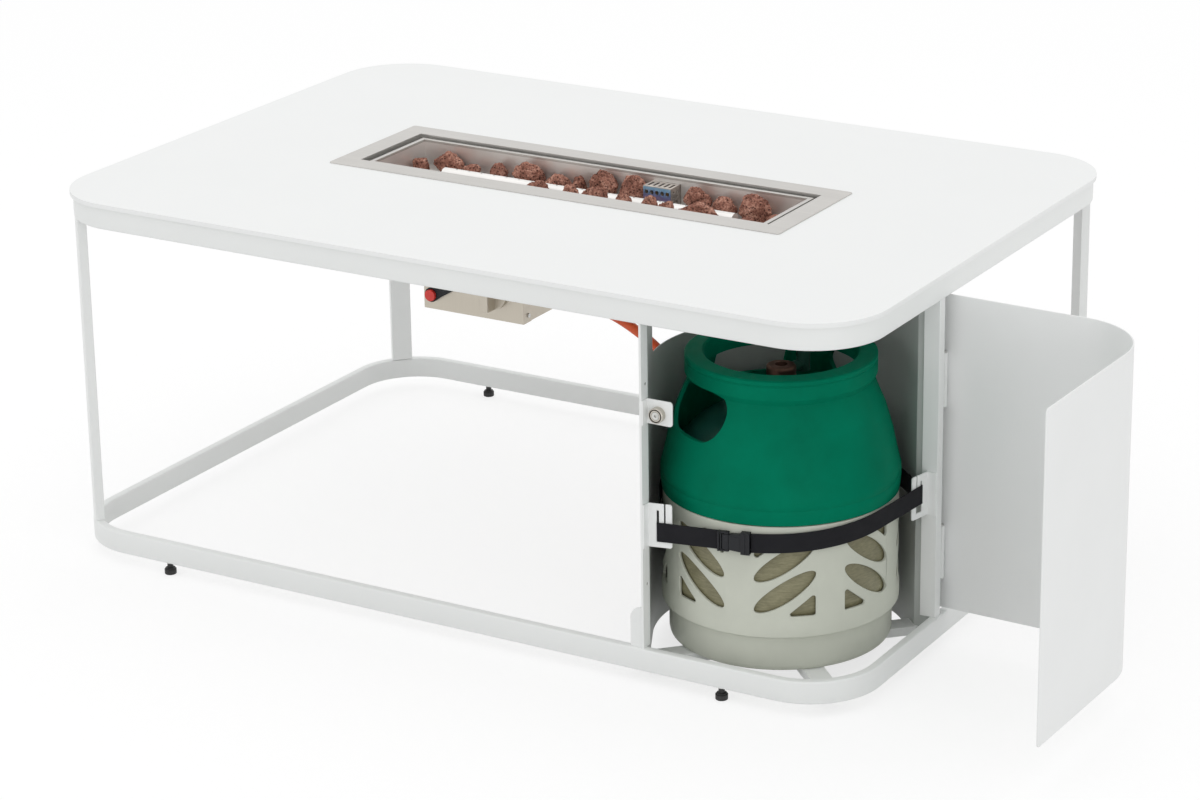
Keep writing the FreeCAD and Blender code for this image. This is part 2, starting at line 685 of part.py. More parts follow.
def pipe_saddles():
    saddle = box(SADDLE_X, SADDLE_X + SADDLE_T, -PIPE_R, PIPE_R, TRAY_IN, PIPE_Z)
    saddle = saddle.cut(rod_x(0, PIPE_Z, SADDLE_X - 1, SADDLE_X + SADDLE_T + 1, PIPE_R))
    return [saddle, saddle.mirror(V(0, 0, 0), V(1, 0, 0))]


def supply_pipe():
    y = SUPPLY_Y
    z = KNOB_Z + VALVE_H / 2
    bend = SUPPLY_BEND
    turn_z = SUPPLY_Z
    top = PIPE_Z - SUPPLY_R + SUPPLY_WALL
    points = [V(KNOB_X, y, z), V(KNOB_X, y, turn_z - bend), V(KNOB_X, y + bend, turn_z),
              V(KNOB_X, -bend, turn_z), V(KNOB_X, 0, turn_z + bend), V(KNOB_X, 0, top)]
    k = bend * (1 - math.sqrt(0.5))
    mid_a = V(KNOB_X, y + k, turn_z - k)
    mid_b = V(KNOB_X, -k, turn_z + k)
    edges = [Part.LineSegment(points[0], points[1]).toShape(),
             Part.Arc(points[1], mid_a, points[2]).toShape(),
             Part.LineSegment(points[2], points[3]).toShape(),
             Part.Arc(points[3], mid_b, points[4]).toShape(),
             Part.LineSegment(points[4], points[5]).toShape()]
    return [round_tube(edges, SUPPLY_R).cut(round_tube(edges, SUPPLY_R - SUPPLY_WALL))]


def round_tube(edges, r):
    path = Part.Wire(edges)
    start = edges[0].valueAt(edges[0].FirstParameter)
    heading = edges[0].tangentAt(edges[0].FirstParameter)
    ring = Part.Wire(Part.makeCircle(r, start, heading))
    return path.makePipeShell([ring], True, True)


def pilot_hood():
    t = HOOD_T
    hood = box(HOOD_X0, HOOD_X1, HOOD_Y0, HOOD_Y1, TRAY_IN, HOOD_TOP)
    hood = hood.cut(box(HOOD_X0 + t, HOOD_X1 - t, HOOD_Y0 + t, HOOD_Y1 - t, TRAY_IN - 1, HOOD_TOP - t))
    mid = (HOOD_X0 + HOOD_X1) / 2
    half = HOOD_SLOT_W / 2
    for i in range(5):
        x = mid + HOOD_HOLE_STEP * (i - 2)
        z = HOOD_TOP - HOOD_HOLE_DOWN
        hood = hood.cut(rod_y(x, z, HOOD_Y0 - 1, HOOD_Y0 + t + 1, HOOD_HOLE_R))
        hood = hood.cut(box(x - half, x + half, HOOD_Y0 + 5, HOOD_Y1 - 5, HOOD_TOP - t - 1, HOOD_TOP + 1))
    for column in (1, 2):
        for row in (1, 2, 3):
            y = HOOD_Y0 + HOOD_D * column / 3
            z = HOOD_TOP - HOOD_SIDE_STEP * row
            hood = hood.cut(rod_along(V(HOOD_X0 - 1, y, z), V(HOOD_X1 + 1, y, z), HOOD_SIDE_R))
    return [hood]


def pilot_burner():
    x = (HOOD_X0 + HOOD_X1) / 2
    y = (HOOD_Y0 + HOOD_Y1) / 2
    pilot = rod(x, y, TRAY_IN, TRAY_IN + 20, PILOT_R)
    return [pilot.cut(rod(x, y, TRAY_IN - 1, TRAY_IN + 18, PILOT_R - 1.5))]


def pilot_probes():
    y = (HOOD_Y0 + HOOD_Y1) / 2
    mid = (HOOD_X0 + HOOD_X1) / 2
    return [rod(mid + dx, y, TRAY_IN, TRAY_IN + 24, PROBE_R) for dx in (-9, 9)]


def lava_rocks():
    rocks = []
    for x, y, rx, ry, rz in ROCKS:
        ball = Part.makeSphere(1.0)
        grow = FreeCAD.Matrix()
        grow.scale(rx, ry, rz)
        rock = ball.transformGeometry(grow)
        rock.translate(V(x, y, TRAY_IN + rz - ROCK_SEAT))
        rock = rock.cut(box(x - 40, x + 40, y - 40, y + 40, TRAY_IN - 20, TRAY_IN))
        rocks.append(rock)
    return rocks


# Control box.

def control_box():
    t = BOX_T
    y0 = BOX_Y0 + t
    shell = box(BOX_X0, BOX_X1, y0, BOX_Y1, BOX_Z0, BOX_Z1)
    shell = shell.cut(box(BOX_X0 + t, BOX_X1 - t, y0 - 1, BOX_Y1 - t, BOX_Z0 + t, BOX_Z1 - t))
    shell = shell.cut(rod_y(KNOB_X, SUPPLY_Z, BOX_Y1 - t - 1, BOX_Y1 + 1, SUPPLY_R + RUN_FIT))
    shell = shell.cut(rod_x(INLET_Y, KNOB_Z, BOX_X1 - t - 1, BOX_X1 + 1, INLET_R + RUN_FIT))
    return [shell]


def box_front():
    t = BOX_T
    plate = box(BOX_X0 - t, BOX_X1 + t, BOX_Y0, BOX_Y0 + t, BOX_Z0, BOX_Z1)
    right = box(BOX_X1, BOX_X1 + t, BOX_Y0, BOX_Y0 + FLANGE_D, BOX_Z0, BOX_Z1)
    left = box(BOX_X0 - t, BOX_X0, BOX_Y0, BOX_Y0 + FLANGE_D, BOX_Z0, BOX_Z1)
    front = plate.fuse(right).fuse(left)
    front = front.cut(rod_y(BUTTON_X, BUTTON_Z, BOX_Y0 - 1, BOX_Y0 + t + 1, STEM_R + RUN_FIT))
    front = front.cut(rod_y(KNOB_X, KNOB_Z, BOX_Y0 - 1, BOX_Y0 + t + 1, SPINDLE_R + RUN_FIT))
    return [front.removeSplitter()]


def box_screws():
    screws = []
    y = BOX_Y0 + BOX_SCREW_IN
    right = BOX_X1 + BOX_T
    left = BOX_X0 - BOX_T
    for z in (BOX_Z0 + BOX_SCREW_LOW, BOX_Z0 + BOX_SCREW_HIGH):
        screws.append(rod_x(y, z, right, right + BOX_SCREW_H, BOX_SCREW_R))
        screws.append(rod_x(y, z, left - BOX_SCREW_H, left, BOX_SCREW_R))
    return screws


def button_bezel():
    y0 = BOX_Y0 - BEZEL_T
    body = rod_y(BUTTON_X, BUTTON_Z, y0, BOX_Y0, BEZEL_R)
    a = math.radians(30)
    tip = (BUTTON_X + BEZEL_TAIL, BUTTON_Z + BEZEL_R)
    low = (BUTTON_X + BEZEL_R * math.sin(a), BUTTON_Z - BEZEL_R * math.cos(a))
    points = [V(BUTTON_X, y0, BUTTON_Z + BEZEL_R), V(tip[0], y0, tip[1]),
              V(low[0] + 8, y0, low[1] + 6), V(low[0], y0, low[1]), V(BUTTON_X, y0, BUTTON_Z)]
    tail = Part.Face(Part.makePolygon(points + points[:1])).extrude(V(0, BEZEL_T, 0))
    bezel = body.fuse(tail)
    bezel = bezel.cut(rod_y(BUTTON_X, BUTTON_Z, y0 - 1, BOX_Y0 - BEZEL_FLOOR, BUTTON_R + RUN_FIT))
    return [bezel.cut(rod_y(BUTTON_X, BUTTON_Z, y0, BOX_Y0 + 1, STEM_R + RUN_FIT)).removeSplitter()]


def igniter_button():
    back = BOX_Y0 - BEZEL_FLOOR - RUN_FIT - BUTTON_TRAVEL
    cap = rod_y(BUTTON_X, BUTTON_Z, back - BUTTON_H, back, BUTTON_R)
    cap = cap.makeFillet(0.8, [cap.Edges[2]])
    stem = rod_y(BUTTON_X, BUTTON_Z, back - 1, BOX_Y0 + 10, STEM_R)
    return [cap.fuse(stem).removeSplitter()]


def igniter_body():
    y0 = BOX_Y0 + BOX_T
    r = BUTTON_IN - BOX_T - RUN_FIT
    body = rod_y(BUTTON_X, BUTTON_Z, y0, y0 + 34, r)
    return [body.cut(rod_y(BUTTON_X, BUTTON_Z, y0 - 1, BOX_Y0 + 10 + BUTTON_TRAVEL + 1, STEM_R + RUN_FIT))]


def control_knob():
    y1 = BOX_Y0 - RUN_FIT
    y0 = y1 - KNOB_T
    disc = rod_y(KNOB_X, KNOB_Z, y0, y1, KNOB_R)
    grip = box(KNOB_X - GRIP_W / 2, KNOB_X + GRIP_W / 2, y0 - GRIP_H, y0 + 1,
               KNOB_Z - KNOB_R + 1.5, KNOB_Z + KNOB_R - 1.5)
    grip = grip.makeFillet(1.5, grip.Edges)
    spindle = rod_y(KNOB_X, KNOB_Z, y0 + 1, BOX_Y0 + 18, SPINDLE_R)
    return [disc.fuse(grip).fuse(spindle).removeSplitter()]


def valve_body():
    x0 = KNOB_X - VALVE_L / 2
    y0 = BOX_Y0 + BOX_T + VALVE_SET
    y1 = SUPPLY_Y + 2 * SUPPLY_R
    z0 = KNOB_Z - VALVE_H / 2
    body = box(x0, x0 + VALVE_L, y0, y1, z0, z0 + VALVE_H)
    boss = rod_y(KNOB_X, KNOB_Z, BOX_Y0 + BOX_T, y0 + 1, 9.0)
    body = body.fuse(boss)
    bore = rod_y(KNOB_X, KNOB_Z, BOX_Y0, BOX_Y0 + 20, SPINDLE_R + SPINDLE_FIT)
    body = body.cut(bore)
    gas = rod(KNOB_X, SUPPLY_Y, KNOB_Z, z0 + VALVE_H + 1, SUPPLY_R - SUPPLY_WALL)
    return [body.cut(gas).removeSplitter()]


def inlet_fitting():
    """Elbow from the valve's side out of the box to the hose."""
    x0 = KNOB_X + VALVE_L / 2
    start = V(x0, INLET_Y, KNOB_Z)
    end = V(*HOSE[0])
    heading = V(*HOSE[1]).sub(end)
    heading.normalize()
    knee = V(BOX_X1 + 20, INLET_Y, KNOB_Z)
    back = end.sub(V(heading).multiply(SPIGOT_L))
    body = rod_along(start, knee, INLET_R)
    body = body.fuse(Part.makeSphere(INLET_R + 1, knee))
    body = body.fuse(rod_along(knee, back, INLET_R))
    body = body.fuse(rod_along(back, end, SPIGOT_R))
    nut = rod_x(INLET_Y, KNOB_Z, BOX_X1, BOX_X1 + 8, INLET_R + 3)
    return [body.fuse(nut).removeSplitter()]


# Bottle bay.

def latch_post():
    return [box(POST_A_X - POST_A_T, POST_A_X, POST_A_Y0, POST_A_Y1, LOW_Z1, HIGH_Z0)]


def post_gusset():
    x1 = POST_A_X - POST_A_T
    plate = box(x1 - GUSSET_L, x1, GUSSET_Y0, GUSSET_Y1, LOW_Z1, LOW_Z1 + GUSSET_H)
    edge = [e for e in plate.Edges if abs(e.CenterOfMass.x - (x1 - GUSSET_L)) < 0.01
            and abs(e.CenterOfMass.z - (LOW_Z1 + GUSSET_H)) < 0.01]
    return [plate.makeFillet(GUSSET_R, edge)]


def hinge_post():
    web = box(POST_B_X0, POST_B_X1, POST_B_Y0, POST_B_Y0 + POST_B_T, LOW_Z1, HIGH_Z0)
    flange = box(POST_B_X1 - POST_B_T, POST_B_X1, POST_B_Y0, POST_B_Y1, LOW_Z1, HIGH_Z0)
    return [web.fuse(flange).removeSplitter()]


def bar_channel(p, q):
    top = strip(p, q, BAR_W / 2, BOT_Z - BAR_T, BOT_Z)
    body = strip(p, q, BAR_W / 2, BOT_Z - BAR_H, BOT_Z)
    return top, body, strip(p, q, BAR_W / 2 - BAR_T, BOT_Z - BAR_H - 1, BOT_Z - BAR_T)


def bottle_bar_long():
    y = -(RING_Y - TUBE_T)
    x = RING_X - TUBE_T
    p = (BAR_LINE + y - 60, y - 60)
    q = (x + 60, x + 60 - BAR_LINE)
    body, hollow = bar_channel(p, q)[1:]
    inside = box(0, x, y, 0, 0, TABLE_H)
    return [body.cut(hollow).common(inside)]


def bar_cross_runs():
    """The short bar's two stretches, on the diagonal through the corner."""
    root = math.sqrt(0.5)
    reach = RING_RI * root
    far = (BEND_X + reach, -BEND_Y - reach)
    mid_t = (far[0] - far[1] - BAR_LINE) * root
    side = BAR_W / 2 + WELD_GAP
    near_end = (far[0] - (mid_t - side) * root, far[1] + (mid_t - side) * root)
    back_start = (far[0] - (mid_t + side) * root, far[1] + (mid_t + side) * root)
    length = (far[0] - BOT_X - far[1] + BOT_Y) * root + SHORT_END
    tail = (far[0] - length * root, far[1] + length * root)
    start = (far[0] + 30 * root, far[1] - 30 * root)
    return (start, near_end), (back_start, tail)


def bottle_bar_short():
    near, back = bar_cross_runs()
    corner = rod(BEND_X, -BEND_Y, 0, TABLE_H, RING_RI)
    body, hollow = bar_channel(*near)[1:]
    piece_a = body.cut(hollow).common(corner)
    body, hollow = bar_channel(*back)[1:]
    return [piece_a, body.cut(hollow)]


def panel_start():
    return (POST_A_X - POST_A_T - PANEL_T / 2, POST_A_Y1)


def inner_panel(hose_path):
    z0 = LOW_Z0
    z1 = PANEL_Z1
    half = PANEL_T / 2
    start = panel_start()
    a = tangent_angle(start, PANEL_MID, -1) % 360
    touch = polar(PANEL_MID, a)
    lap = strip((start[0], GUSSET_Y1 + RUN_FIT), start, half, z0, z1)
    side = strip(start, touch, half, z0, z1)
    back = sector(BOT_X, BOT_Y, PANEL_R, PANEL_RO, PANEL_TURN, a, z0, z1)
    leave = polar(PANEL_MID, PANEL_TURN)
    y = POST_B_Y0 + POST_B_T + half
    foot_x = leave[0] + (leave[1] - y)
    slope = strip(leave, (foot_x, y), half, z0, z1)
    end = strip((foot_x - half, y), (HINGE_X - 2.5, y), half, z0, z1)
    panel = lap.fuse(rod(start[0], start[1], z0, z1, half)).fuse(side).fuse(back)
    panel = panel.fuse(slope).fuse(end)
    over_bars = [(BAR_BACK - HALF_W, -HALF_W), (HALF_L, HALF_L - BAR_BACK), (HALF_L, -HALF_W)]
    panel = panel.cut(prism(over_bars, z0 - 1, BOT_Z + PANEL_CLEARANCE))
    panel = panel.cut(box(0, HALF_L, -HALF_W, TUBE_T + PANEL_CLEARANCE - RING_Y, z0 - 1, PANEL_LOW))
    panel = panel.cut(box(RING_X - TUBE_T - PANEL_CLEARANCE, HALF_L, -HALF_W, 0, z0 - 1, PANEL_LOW))
    panel = panel.cut(panel_dip())
    centre, normal = hose_crossing(hose_path)
    clear = PANEL_CLEARANCE
    panel = panel.cut(box(0, CASING_L / 2 + clear, -CASING_W / 2 - clear, 0, CASING_Z0 - clear, z1 + 1))
    drill = Part.makeCylinder(GROMMET_NECK + GROMMET_FIT, 40, centre.sub(V(normal).multiply(20)), normal)
    panel = panel.cut(drill)
    for z in panel_screw_heights():
        panel = panel.cut(panel_screw_hole(z))
    return [panel.removeSplitter()]


def panel_dip():
    """Lowered stretch of the panel's upper edge, where the hose crosses it."""
    low = HIGH_Z0 - DIP_DOWN
    tool = sector(BOT_X, BOT_Y, PANEL_R - 1, PANEL_RO + 1, DIP_A0, DIP_A1, low, PANEL_Z1 + 1)
    corners = [e for e in tool.Edges if e.Curve.TypeId == "Part::GeomLine"
               and abs(e.CenterOfMass.z - low) < 0.01]
    return tool.makeFillet(DIP_R, corners)


def panel_screw_heights():
    return (LOW_Z1 + GUSSET_H + 30, HIGH_Z0 - 80)


def panel_screw_hole(z):
    r = PANEL_SCREW_R + PANEL_SCREW_FIT
    return rod_x(PANEL_SCREW_Y, z, POST_A_X - POST_A_T - PANEL_T - 1, POST_A_X + 1, r)


def panel_screws():
    screws = []
    x = POST_A_X - POST_A_T - PANEL_T
    for z in panel_screw_heights():
        head = rod_x(PANEL_SCREW_Y, z, x - PANEL_SCREW_HEAD_H, x, PANEL_SCREW_HEAD_R)
        shank = rod_x(PANEL_SCREW_Y, z, x, POST_A_X - 0.5, PANEL_SCREW_R)
        screws.append(head.fuse(shank).removeSplitter())
    return screws


def drill_latch_post(post):
    for z in panel_screw_heights():
        post = post.cut(panel_screw_hole(z))
    return post


def hose_crossing(path):
    """Point where the hose goes through the panel, and the panel's normal there."""
    points = path.discretize(600)
    last = [p for p in points if p.z > 300 and p.x > BOT_X - PANEL_RO + 20]
    best = min(last, key=lambda p: abs(math.hypot(p.x - BOT_X, p.y - BOT_Y) - PANEL_MID))
    normal = V(BOT_X - best.x, BOT_Y - best.y, 0)
    normal.normalize()
    centre = V(BOT_X - normal.x * PANEL_MID, BOT_Y - normal.y * PANEL_MID, best.z)
    return centre, normal


def hose_grommet(path):
    centre, normal = hose_crossing(path)
    back = centre.sub(V(normal).multiply(GROMMET_T / 2))
    ring = Part.makeCylinder(GROMMET_R, GROMMET_T, back, normal)
    bore = Part.makeCylinder(GROMMET_BORE, GROMMET_T + 2, back.sub(normal), normal)
    low = centre.z - 2 * GROMMET_R
    high = centre.z + 2 * GROMMET_R
    groove = sector(BOT_X, BOT_Y, PANEL_R - GROMMET_FIT, PANEL_RO + GROMMET_FIT, 0, 360, low, high)
    neck = Part.makeCylinder(GROMMET_NECK, GROMMET_T, back, normal)
    return [ring.cut(groove.cut(neck)).cut(bore).removeSplitter()]


# Latch.

def latch_tab():
    y = LATCH_Y
    x0 = POST_A_X
    z0 = LATCH_Z - LATCH_H / 2
    z1 = z0 + LATCH_H
    plate = box(x0, x0 + LATCH_W, y, y + PLATE_T, z0, z1)
    edges = [e for e in plate.Edges if abs(e.CenterOfMass.x - x0 - LATCH_W) < 0.01
             and abs(e.tangentAt(e.FirstParameter).y) > 0.9]
    plate = plate.makeFillet(LATCH_CORNER, edges)
    flange = box(x0, x0 + PLATE_T, POST_A_Y0, y + PLATE_T, z0, z1)
    tab = plate.fuse(flange)
    hole = rod_y(MAGNET_X, MAGNET_Z, y - 1, y + PLATE_T + 1, LATCH_SCREW_R + 0.1)
    return [tab.cut(hole).removeSplitter()]


def latch_magnet():
    y = LATCH_Y
    z = MAGNET_Z
    body = rod_y(MAGNET_X, z, y - MAGNET_T, y, MAGNET_R)
    body = body.cut(rod_y(MAGNET_X, z, y - MAGNET_T - 1, y + 1, LATCH_SCREW_R + 0.1))
    face = V(MAGNET_X, y - MAGNET_T, z)
    cone = Part.makeCone(LATCH_HEAD_R + 0.2, LATCH_SCREW_R + 0.1, 3, face, V(0, 1, 0))
    return [body.cut(cone)]


def latch_screw():
    y = LATCH_Y
    z = MAGNET_Z
    cone = Part.makeCone(LATCH_HEAD_R, LATCH_SCREW_R, 2.9, V(MAGNET_X, y - MAGNET_T, z), V(0, 1, 0))
    shank = rod_y(MAGNET_X, z, y - MAGNET_T + 2, y + PLATE_T + 6, LATCH_SCREW_R)
    socket = rod_y(MAGNET_X, z, y - MAGNET_T - 1, y - MAGNET_T + 2, 1.7)
    screw = cone.fuse(shank).cut(socket).removeSplitter()
    nut = rod_y(MAGNET_X, z, y + PLATE_T, y + PLATE_T + LATCH_NUT_T, LATCH_NUT_R)
    nut = nut.cut(rod_y(MAGNET_X, z, y, y + PLATE_T + 5, LATCH_SCREW_R))
    return [screw, nut]


# Strap and brackets.

def slotted_plate():
    """Plate lying in local X and Z, bend at x = 0, strap side towards -Y."""
    plate = box(0, BR_W, 0, PLATE_T, 0, BR_H)
    edges = [e for e in plate.Edges if abs(e.CenterOfMass.x - BR_W) < 0.01
             and abs(e.tangentAt(e.FirstParameter).y) > 0.9]
    plate = plate.makeFillet(BR_CORNER, edges)
    half = SLOT_W / 2
    plate = plate.cut(box(SLOT_U - half, SLOT_U + half, -1, PLATE_T + 1, SLOT_Z0, SLOT_Z1))
    slit = SLIT_U + SLIT_W / 2
    plate = plate.cut(box(SLIT_U - SLIT_W / 2, slit, -1, PLATE_T + 1, SLOT_Z0, BR_H + 1))
    return plate.cut(box(SLOT_U, slit, -1, PLATE_T + 1, SLOT_Z0, FINGER_Z))


def left_bend():
    return (POST_A_X + PLATE_T, LATCH_Y)


def right_bend():
    return (POST_B_X0 + BR_B_SET, POST_B_Y0 - PLATE_T)


def bracket_left():
    x, y = left_bend()
    plate = slotted_plate()
    plate.rotate(V(0, 0, 0), UP, BR_TILT)
    plate.translate(V(x - 1.0, y, BR_Z_LEFT))
    plate = plate.cut(box(x - 30, POST_A_X, y - 30, y + 30, 0, TABLE_H))
    flange = box(POST_A_X, x, POST_A_Y0, y + PLATE_T, BR_Z_LEFT, BR_Z_LEFT + BR_H)
    return [plate.fuse(flange).removeSplitter()]


def bracket_right():
    x, y = right_bend()
    plate = slotted_plate()
    plate = plate.mirror(V(0, 0, 0), V(1, 0, 0))
    plate.rotate(V(0, 0, 0), UP, 90 - BR_TILT)
    plate.translate(V(x, y + 1.0, BR_Z_RIGHT))
    plate = plate.cut(box(x - 30, x + 30, POST_B_Y0, y + 30, 0, TABLE_H))
    flange = box(x - PLATE_T, x + BR_B_FLANGE, y, POST_B_Y0, BR_Z_RIGHT, BR_Z_RIGHT + BR_H)
    return [plate.fuse(flange).removeSplitter()]


def slot_point(left, n):
    """Plan point in the slot, n in front of the plate's strap side."""
    a = math.radians(BR_TILT)
    if left:
        x, y = left_bend()
        ux, uy = math.cos(a), math.sin(a)
        return (x - 1.0 + ux * SLOT_U + uy * n, y + uy * SLOT_U - ux * n)
    x, y = right_bend()
    ux, uy = -math.sin(a), -math.cos(a)
    return (x + ux * SLOT_U - uy * n, y + 1.0 + uy * SLOT_U + ux * n)


def strap_plane():
    """Height of the strap's middle as z = z0 + gx x + gy y."""
    ax, ay = slot_point(True, 0)
    bx, by = slot_point(False, 0)
    cx, cy = polar(STRAP_R, STRAP_FRONT_AZ)
    d1 = (ax - cx, ay - cy, STRAP_Z_LEFT - STRAP_Z_FRONT)
    d2 = (bx - cx, by - cy, STRAP_Z_RIGHT - STRAP_Z_FRONT)
    det = d1[0] * d2[1] - d1[1] * d2[0]
    gx = (d1[2] * d2[1] - d1[1] * d2[2]) / det
    gy = (d1[0] * d2[2] - d1[2] * d2[0]) / det
    return STRAP_Z_FRONT - gx * cx - gy * cy, gx, gy


def sloped(shape):
    """Shear a flat piece, made about z = 0, onto the strap's plane."""
    z0, gx, gy = strap_plane()
    m = FreeCAD.Matrix(1, 0, 0, 0, 0, 1, 0, 0, gx, gy, 1, z0, 0, 0, 0, 1)
    return shape.transformGeometry(m)


def strap_points():
    front_n = STRAP_T / 2 + STRAP_OFF
    back_n = -PLATE_T - STRAP_T / 2 - STRAP_OFF
    r = STRAP_R + STRAP_T / 2
    left = slot_point(True, front_n)
    right = slot_point(False, front_n)
    a0 = tangent_angle(left, r, 1)
    a1 = tangent_angle(right, r, -1)
    return left, right, a0, a1, r, slot_point(True, back_n), slot_point(False, back_n)


def buckle_frame():
    """Plan point at the buckle's middle and unit vectors along and outwards."""
    left, right, a0, a1, r, lb, rb = strap_points()
    touch = polar(r, a0)
    d = V(touch[0] - left[0], touch[1] - left[1], 0)
    d.normalize()
    mid = (left[0] + d.x * BUCKLE_S, left[1] + d.y * BUCKLE_S)
    return mid, d, V(d.y, -d.x, 0)


def along(mid, d, s):
    return (mid[0] + d.x * s, mid[1] + d.y * s)


def strap_tail():
    """Short stretch from the left slot to the buckle."""
    left = slot_point(True, STRAP_T / 2 + STRAP_OFF)
    mid, d, out = buckle_frame()
    h = STRAP_W / 2
    run = strip(left, along(mid, d, -BUCKLE_L / 2), STRAP_T / 2, -h, h)
    inner = slot_point(True, -PLATE_T / 2)
    turn = rod(left[0], left[1], -h, h, STRAP_T / 2)
    return [sloped(run.fuse(turn).fuse(strip(left, inner, STRAP_T / 2, -h, h)).removeSplitter())]


def strap_front():
    left, right, a0, a1, r, lb, rb = strap_points()
    mid, d, out = buckle_frame()
    h = STRAP_W / 2
    half = STRAP_T / 2
    start = along(mid, d, BUCKLE_L / 2 + RUN_FIT)
    a0 = tangent_angle(start, r, 1)
    run = strip(start, polar(r, a0), half, -h, h)
    arc = sector(BOT_X, BOT_Y, r - half, r + half, a0, a1, -h, h)
    last = strip(polar(r, a1), right, half, -h, h)
    turn = rod(right[0], right[1], -h, h, half)
    end = strip(right, slot_point(False, -PLATE_T / 2), half, -h, h)
    return [sloped(run.fuse(arc).fuse(last).fuse(turn).fuse(end).removeSplitter())]


def strap_back():
    lb, rb = strap_points()[5:]
    h = STRAP_W / 2
    half = STRAP_T / 2
    r = STRAP_R + half
    a0 = tangent_angle(rb, r, 1)
    a1 = tangent_angle(lb, r, -1) % 360
    arc = sector(BOT_X, BOT_Y, r - half, r + half, a0, a1, -h, h)
    one = strip(rb, polar(r, a0), half, -h, h)
    two = strip(polar(r, a1), lb, half, -h, h)
    ends = [strip(lb, slot_point(True, -PLATE_T / 2), half, -h, h),
            strip(rb, slot_point(False, -PLATE_T / 2), half, -h, h),
            rod(lb[0], lb[1], -h, h, half), rod(rb[0], rb[1], -h, h, half)]
    loop = arc.fuse(one).fuse(two)
    for piece in ends:
        loop = loop.fuse(piece)
    return [sloped(loop.removeSplitter())]


def buckle_part(s0, s1, height, grow):
    mid, d, out = buckle_frame()
    p = along(mid, d, s0)
    q = along(mid, d, s1)
    shift = (BUCKLE_OUT - BUCKLE_IN - grow) / 2
    p = (p[0] + out.x * shift, p[1] + out.y * shift)
    q = (q[0] + out.x * shift, q[1] + out.y * shift)
    return strip(p, q, (BUCKLE_OUT + BUCKLE_IN - grow) / 2, -height / 2, height / 2)


def buckle_socket():
    half = BUCKLE_L / 2
    body = buckle_part(-6, half, BUCKLE_H, 0)
    body = body.makeFillet(1.2, [e for e in body.Edges if abs(e.tangentAt(e.FirstParameter).z) > 0.9])
    body = body.cut(buckle_part(-7, half - 12, BUCKLE_H - 9, 3.4))
    return [sloped(body)]


def buckle_plug():
    half = BUCKLE_L / 2
    head = buckle_part(-half, -6.3, BUCKLE_H - 3, 0)
    head = head.makeFillet(1.2, [e for e in head.Edges if abs(e.tangentAt(e.FirstParameter).z) > 0.9])
    tongue = buckle_part(-7, half - 14, BUCKLE_H - 11, 4.4)
    return [sloped(head.fuse(tongue).removeSplitter())]


# Bottle.

def bottle_jacket():
    w = JACKET_WALL
    z = BOT_Z
    band = z + BAND_UP
    step = 4.0
    outer = [(0, z), (BASE_R - 3, z), (BASE_R - 1, z + 2.5), (BASE_R, z + 7), (BASE_R, band - step),
             (JACKET_R + BAND_PROUD, band), (JACKET_R + BAND_PROUD, band + BAND_H),
             (JACKET_R, band + BAND_H + 3), (JACKET_R, JACKET_TOP)]
    inner = [(JACKET_R - w, JACKET_TOP), (JACKET_R - w, band + 1), (BASE_R - w, band - step + 1),
             (BASE_R - w, z + 10), (BASE_R - w - 2, z + 6), (BASE_R - w - 6, z + w), (0, z + w)]
    jacket = lathe(outer + inner, BOT_X, BOT_Y)
    cutters = []
    for k in range(VENT_COUNT):
        step = 360.0 / VENT_COUNT
        lean = 1 if k % 2 == 0 else -1
        for tool in vent_tools(lean):
            tool.rotate(V(0, 0, 0), UP, VENT_AZ + k * step)
            tool.translate(V(BOT_X, BOT_Y, 0))
            cutters.append(tool)
    return [jacket.cut(cutters).removeSplitter()]


def vent_tools(lean):
    """Two slanted ovals and two small triangles, cut outwards along local X."""
    tools = []
    r0 = BASE_R - 30
    deep = JACKET_R - r0 + 10
    for z in (BOT_Z + VENT_LOW, BOT_Z + VENT_HIGH):
        oval = Part.Ellipse(V(0, 0, 0), VENT_L / 2, VENT_W / 2).toShape()
        face = Part.Face(Part.Wire(oval))
        tool = face.extrude(V(0, 0, deep))
        tool.rotate(V(0, 0, 0), V(0, 0, 1), lean * VENT_TILT)
        tool.rotate(V(0, 0, 0), V(1, 0, 0), 90)
        tool.rotate(V(0, 0, 0), UP, 90)
        tool.translate(V(r0, 0, z))
        tools.append(tool)
    mid = BOT_Z + (VENT_LOW + VENT_HIGH) / 2
    for side in (1, -1):
        y0 = lean * side * TRI_Y
        z0 = mid - side * TRI_Z
        corners = [V(r0, y0, z0), V(r0, y0 - lean * side * TRI_L, z0), V(r0, y0, z0 + side * TRI_H)]
        tool = Part.Face(Part.makePolygon(corners + corners[:1])).extrude(V(deep, 0, 0))
        edges = [e for e in tool.Edges if abs(e.tangentAt(e.FirstParameter).x) > 0.9]
        tools.append(tool.makeFillet(TRI_CORNER, edges))
    return tools


def dome(r0, z0, r1, z1, steps):
    """Quarter ellipse from the wall (r0, z0) to the neck (r1, z1)."""
    rows = []
    for i in range(steps + 1):
        a = math.pi / 2 * i / steps
        rows.append((r1 + (r0 - r1) * math.cos(a), z0 + (z1 - z0) * math.sin(a)))
    return rows


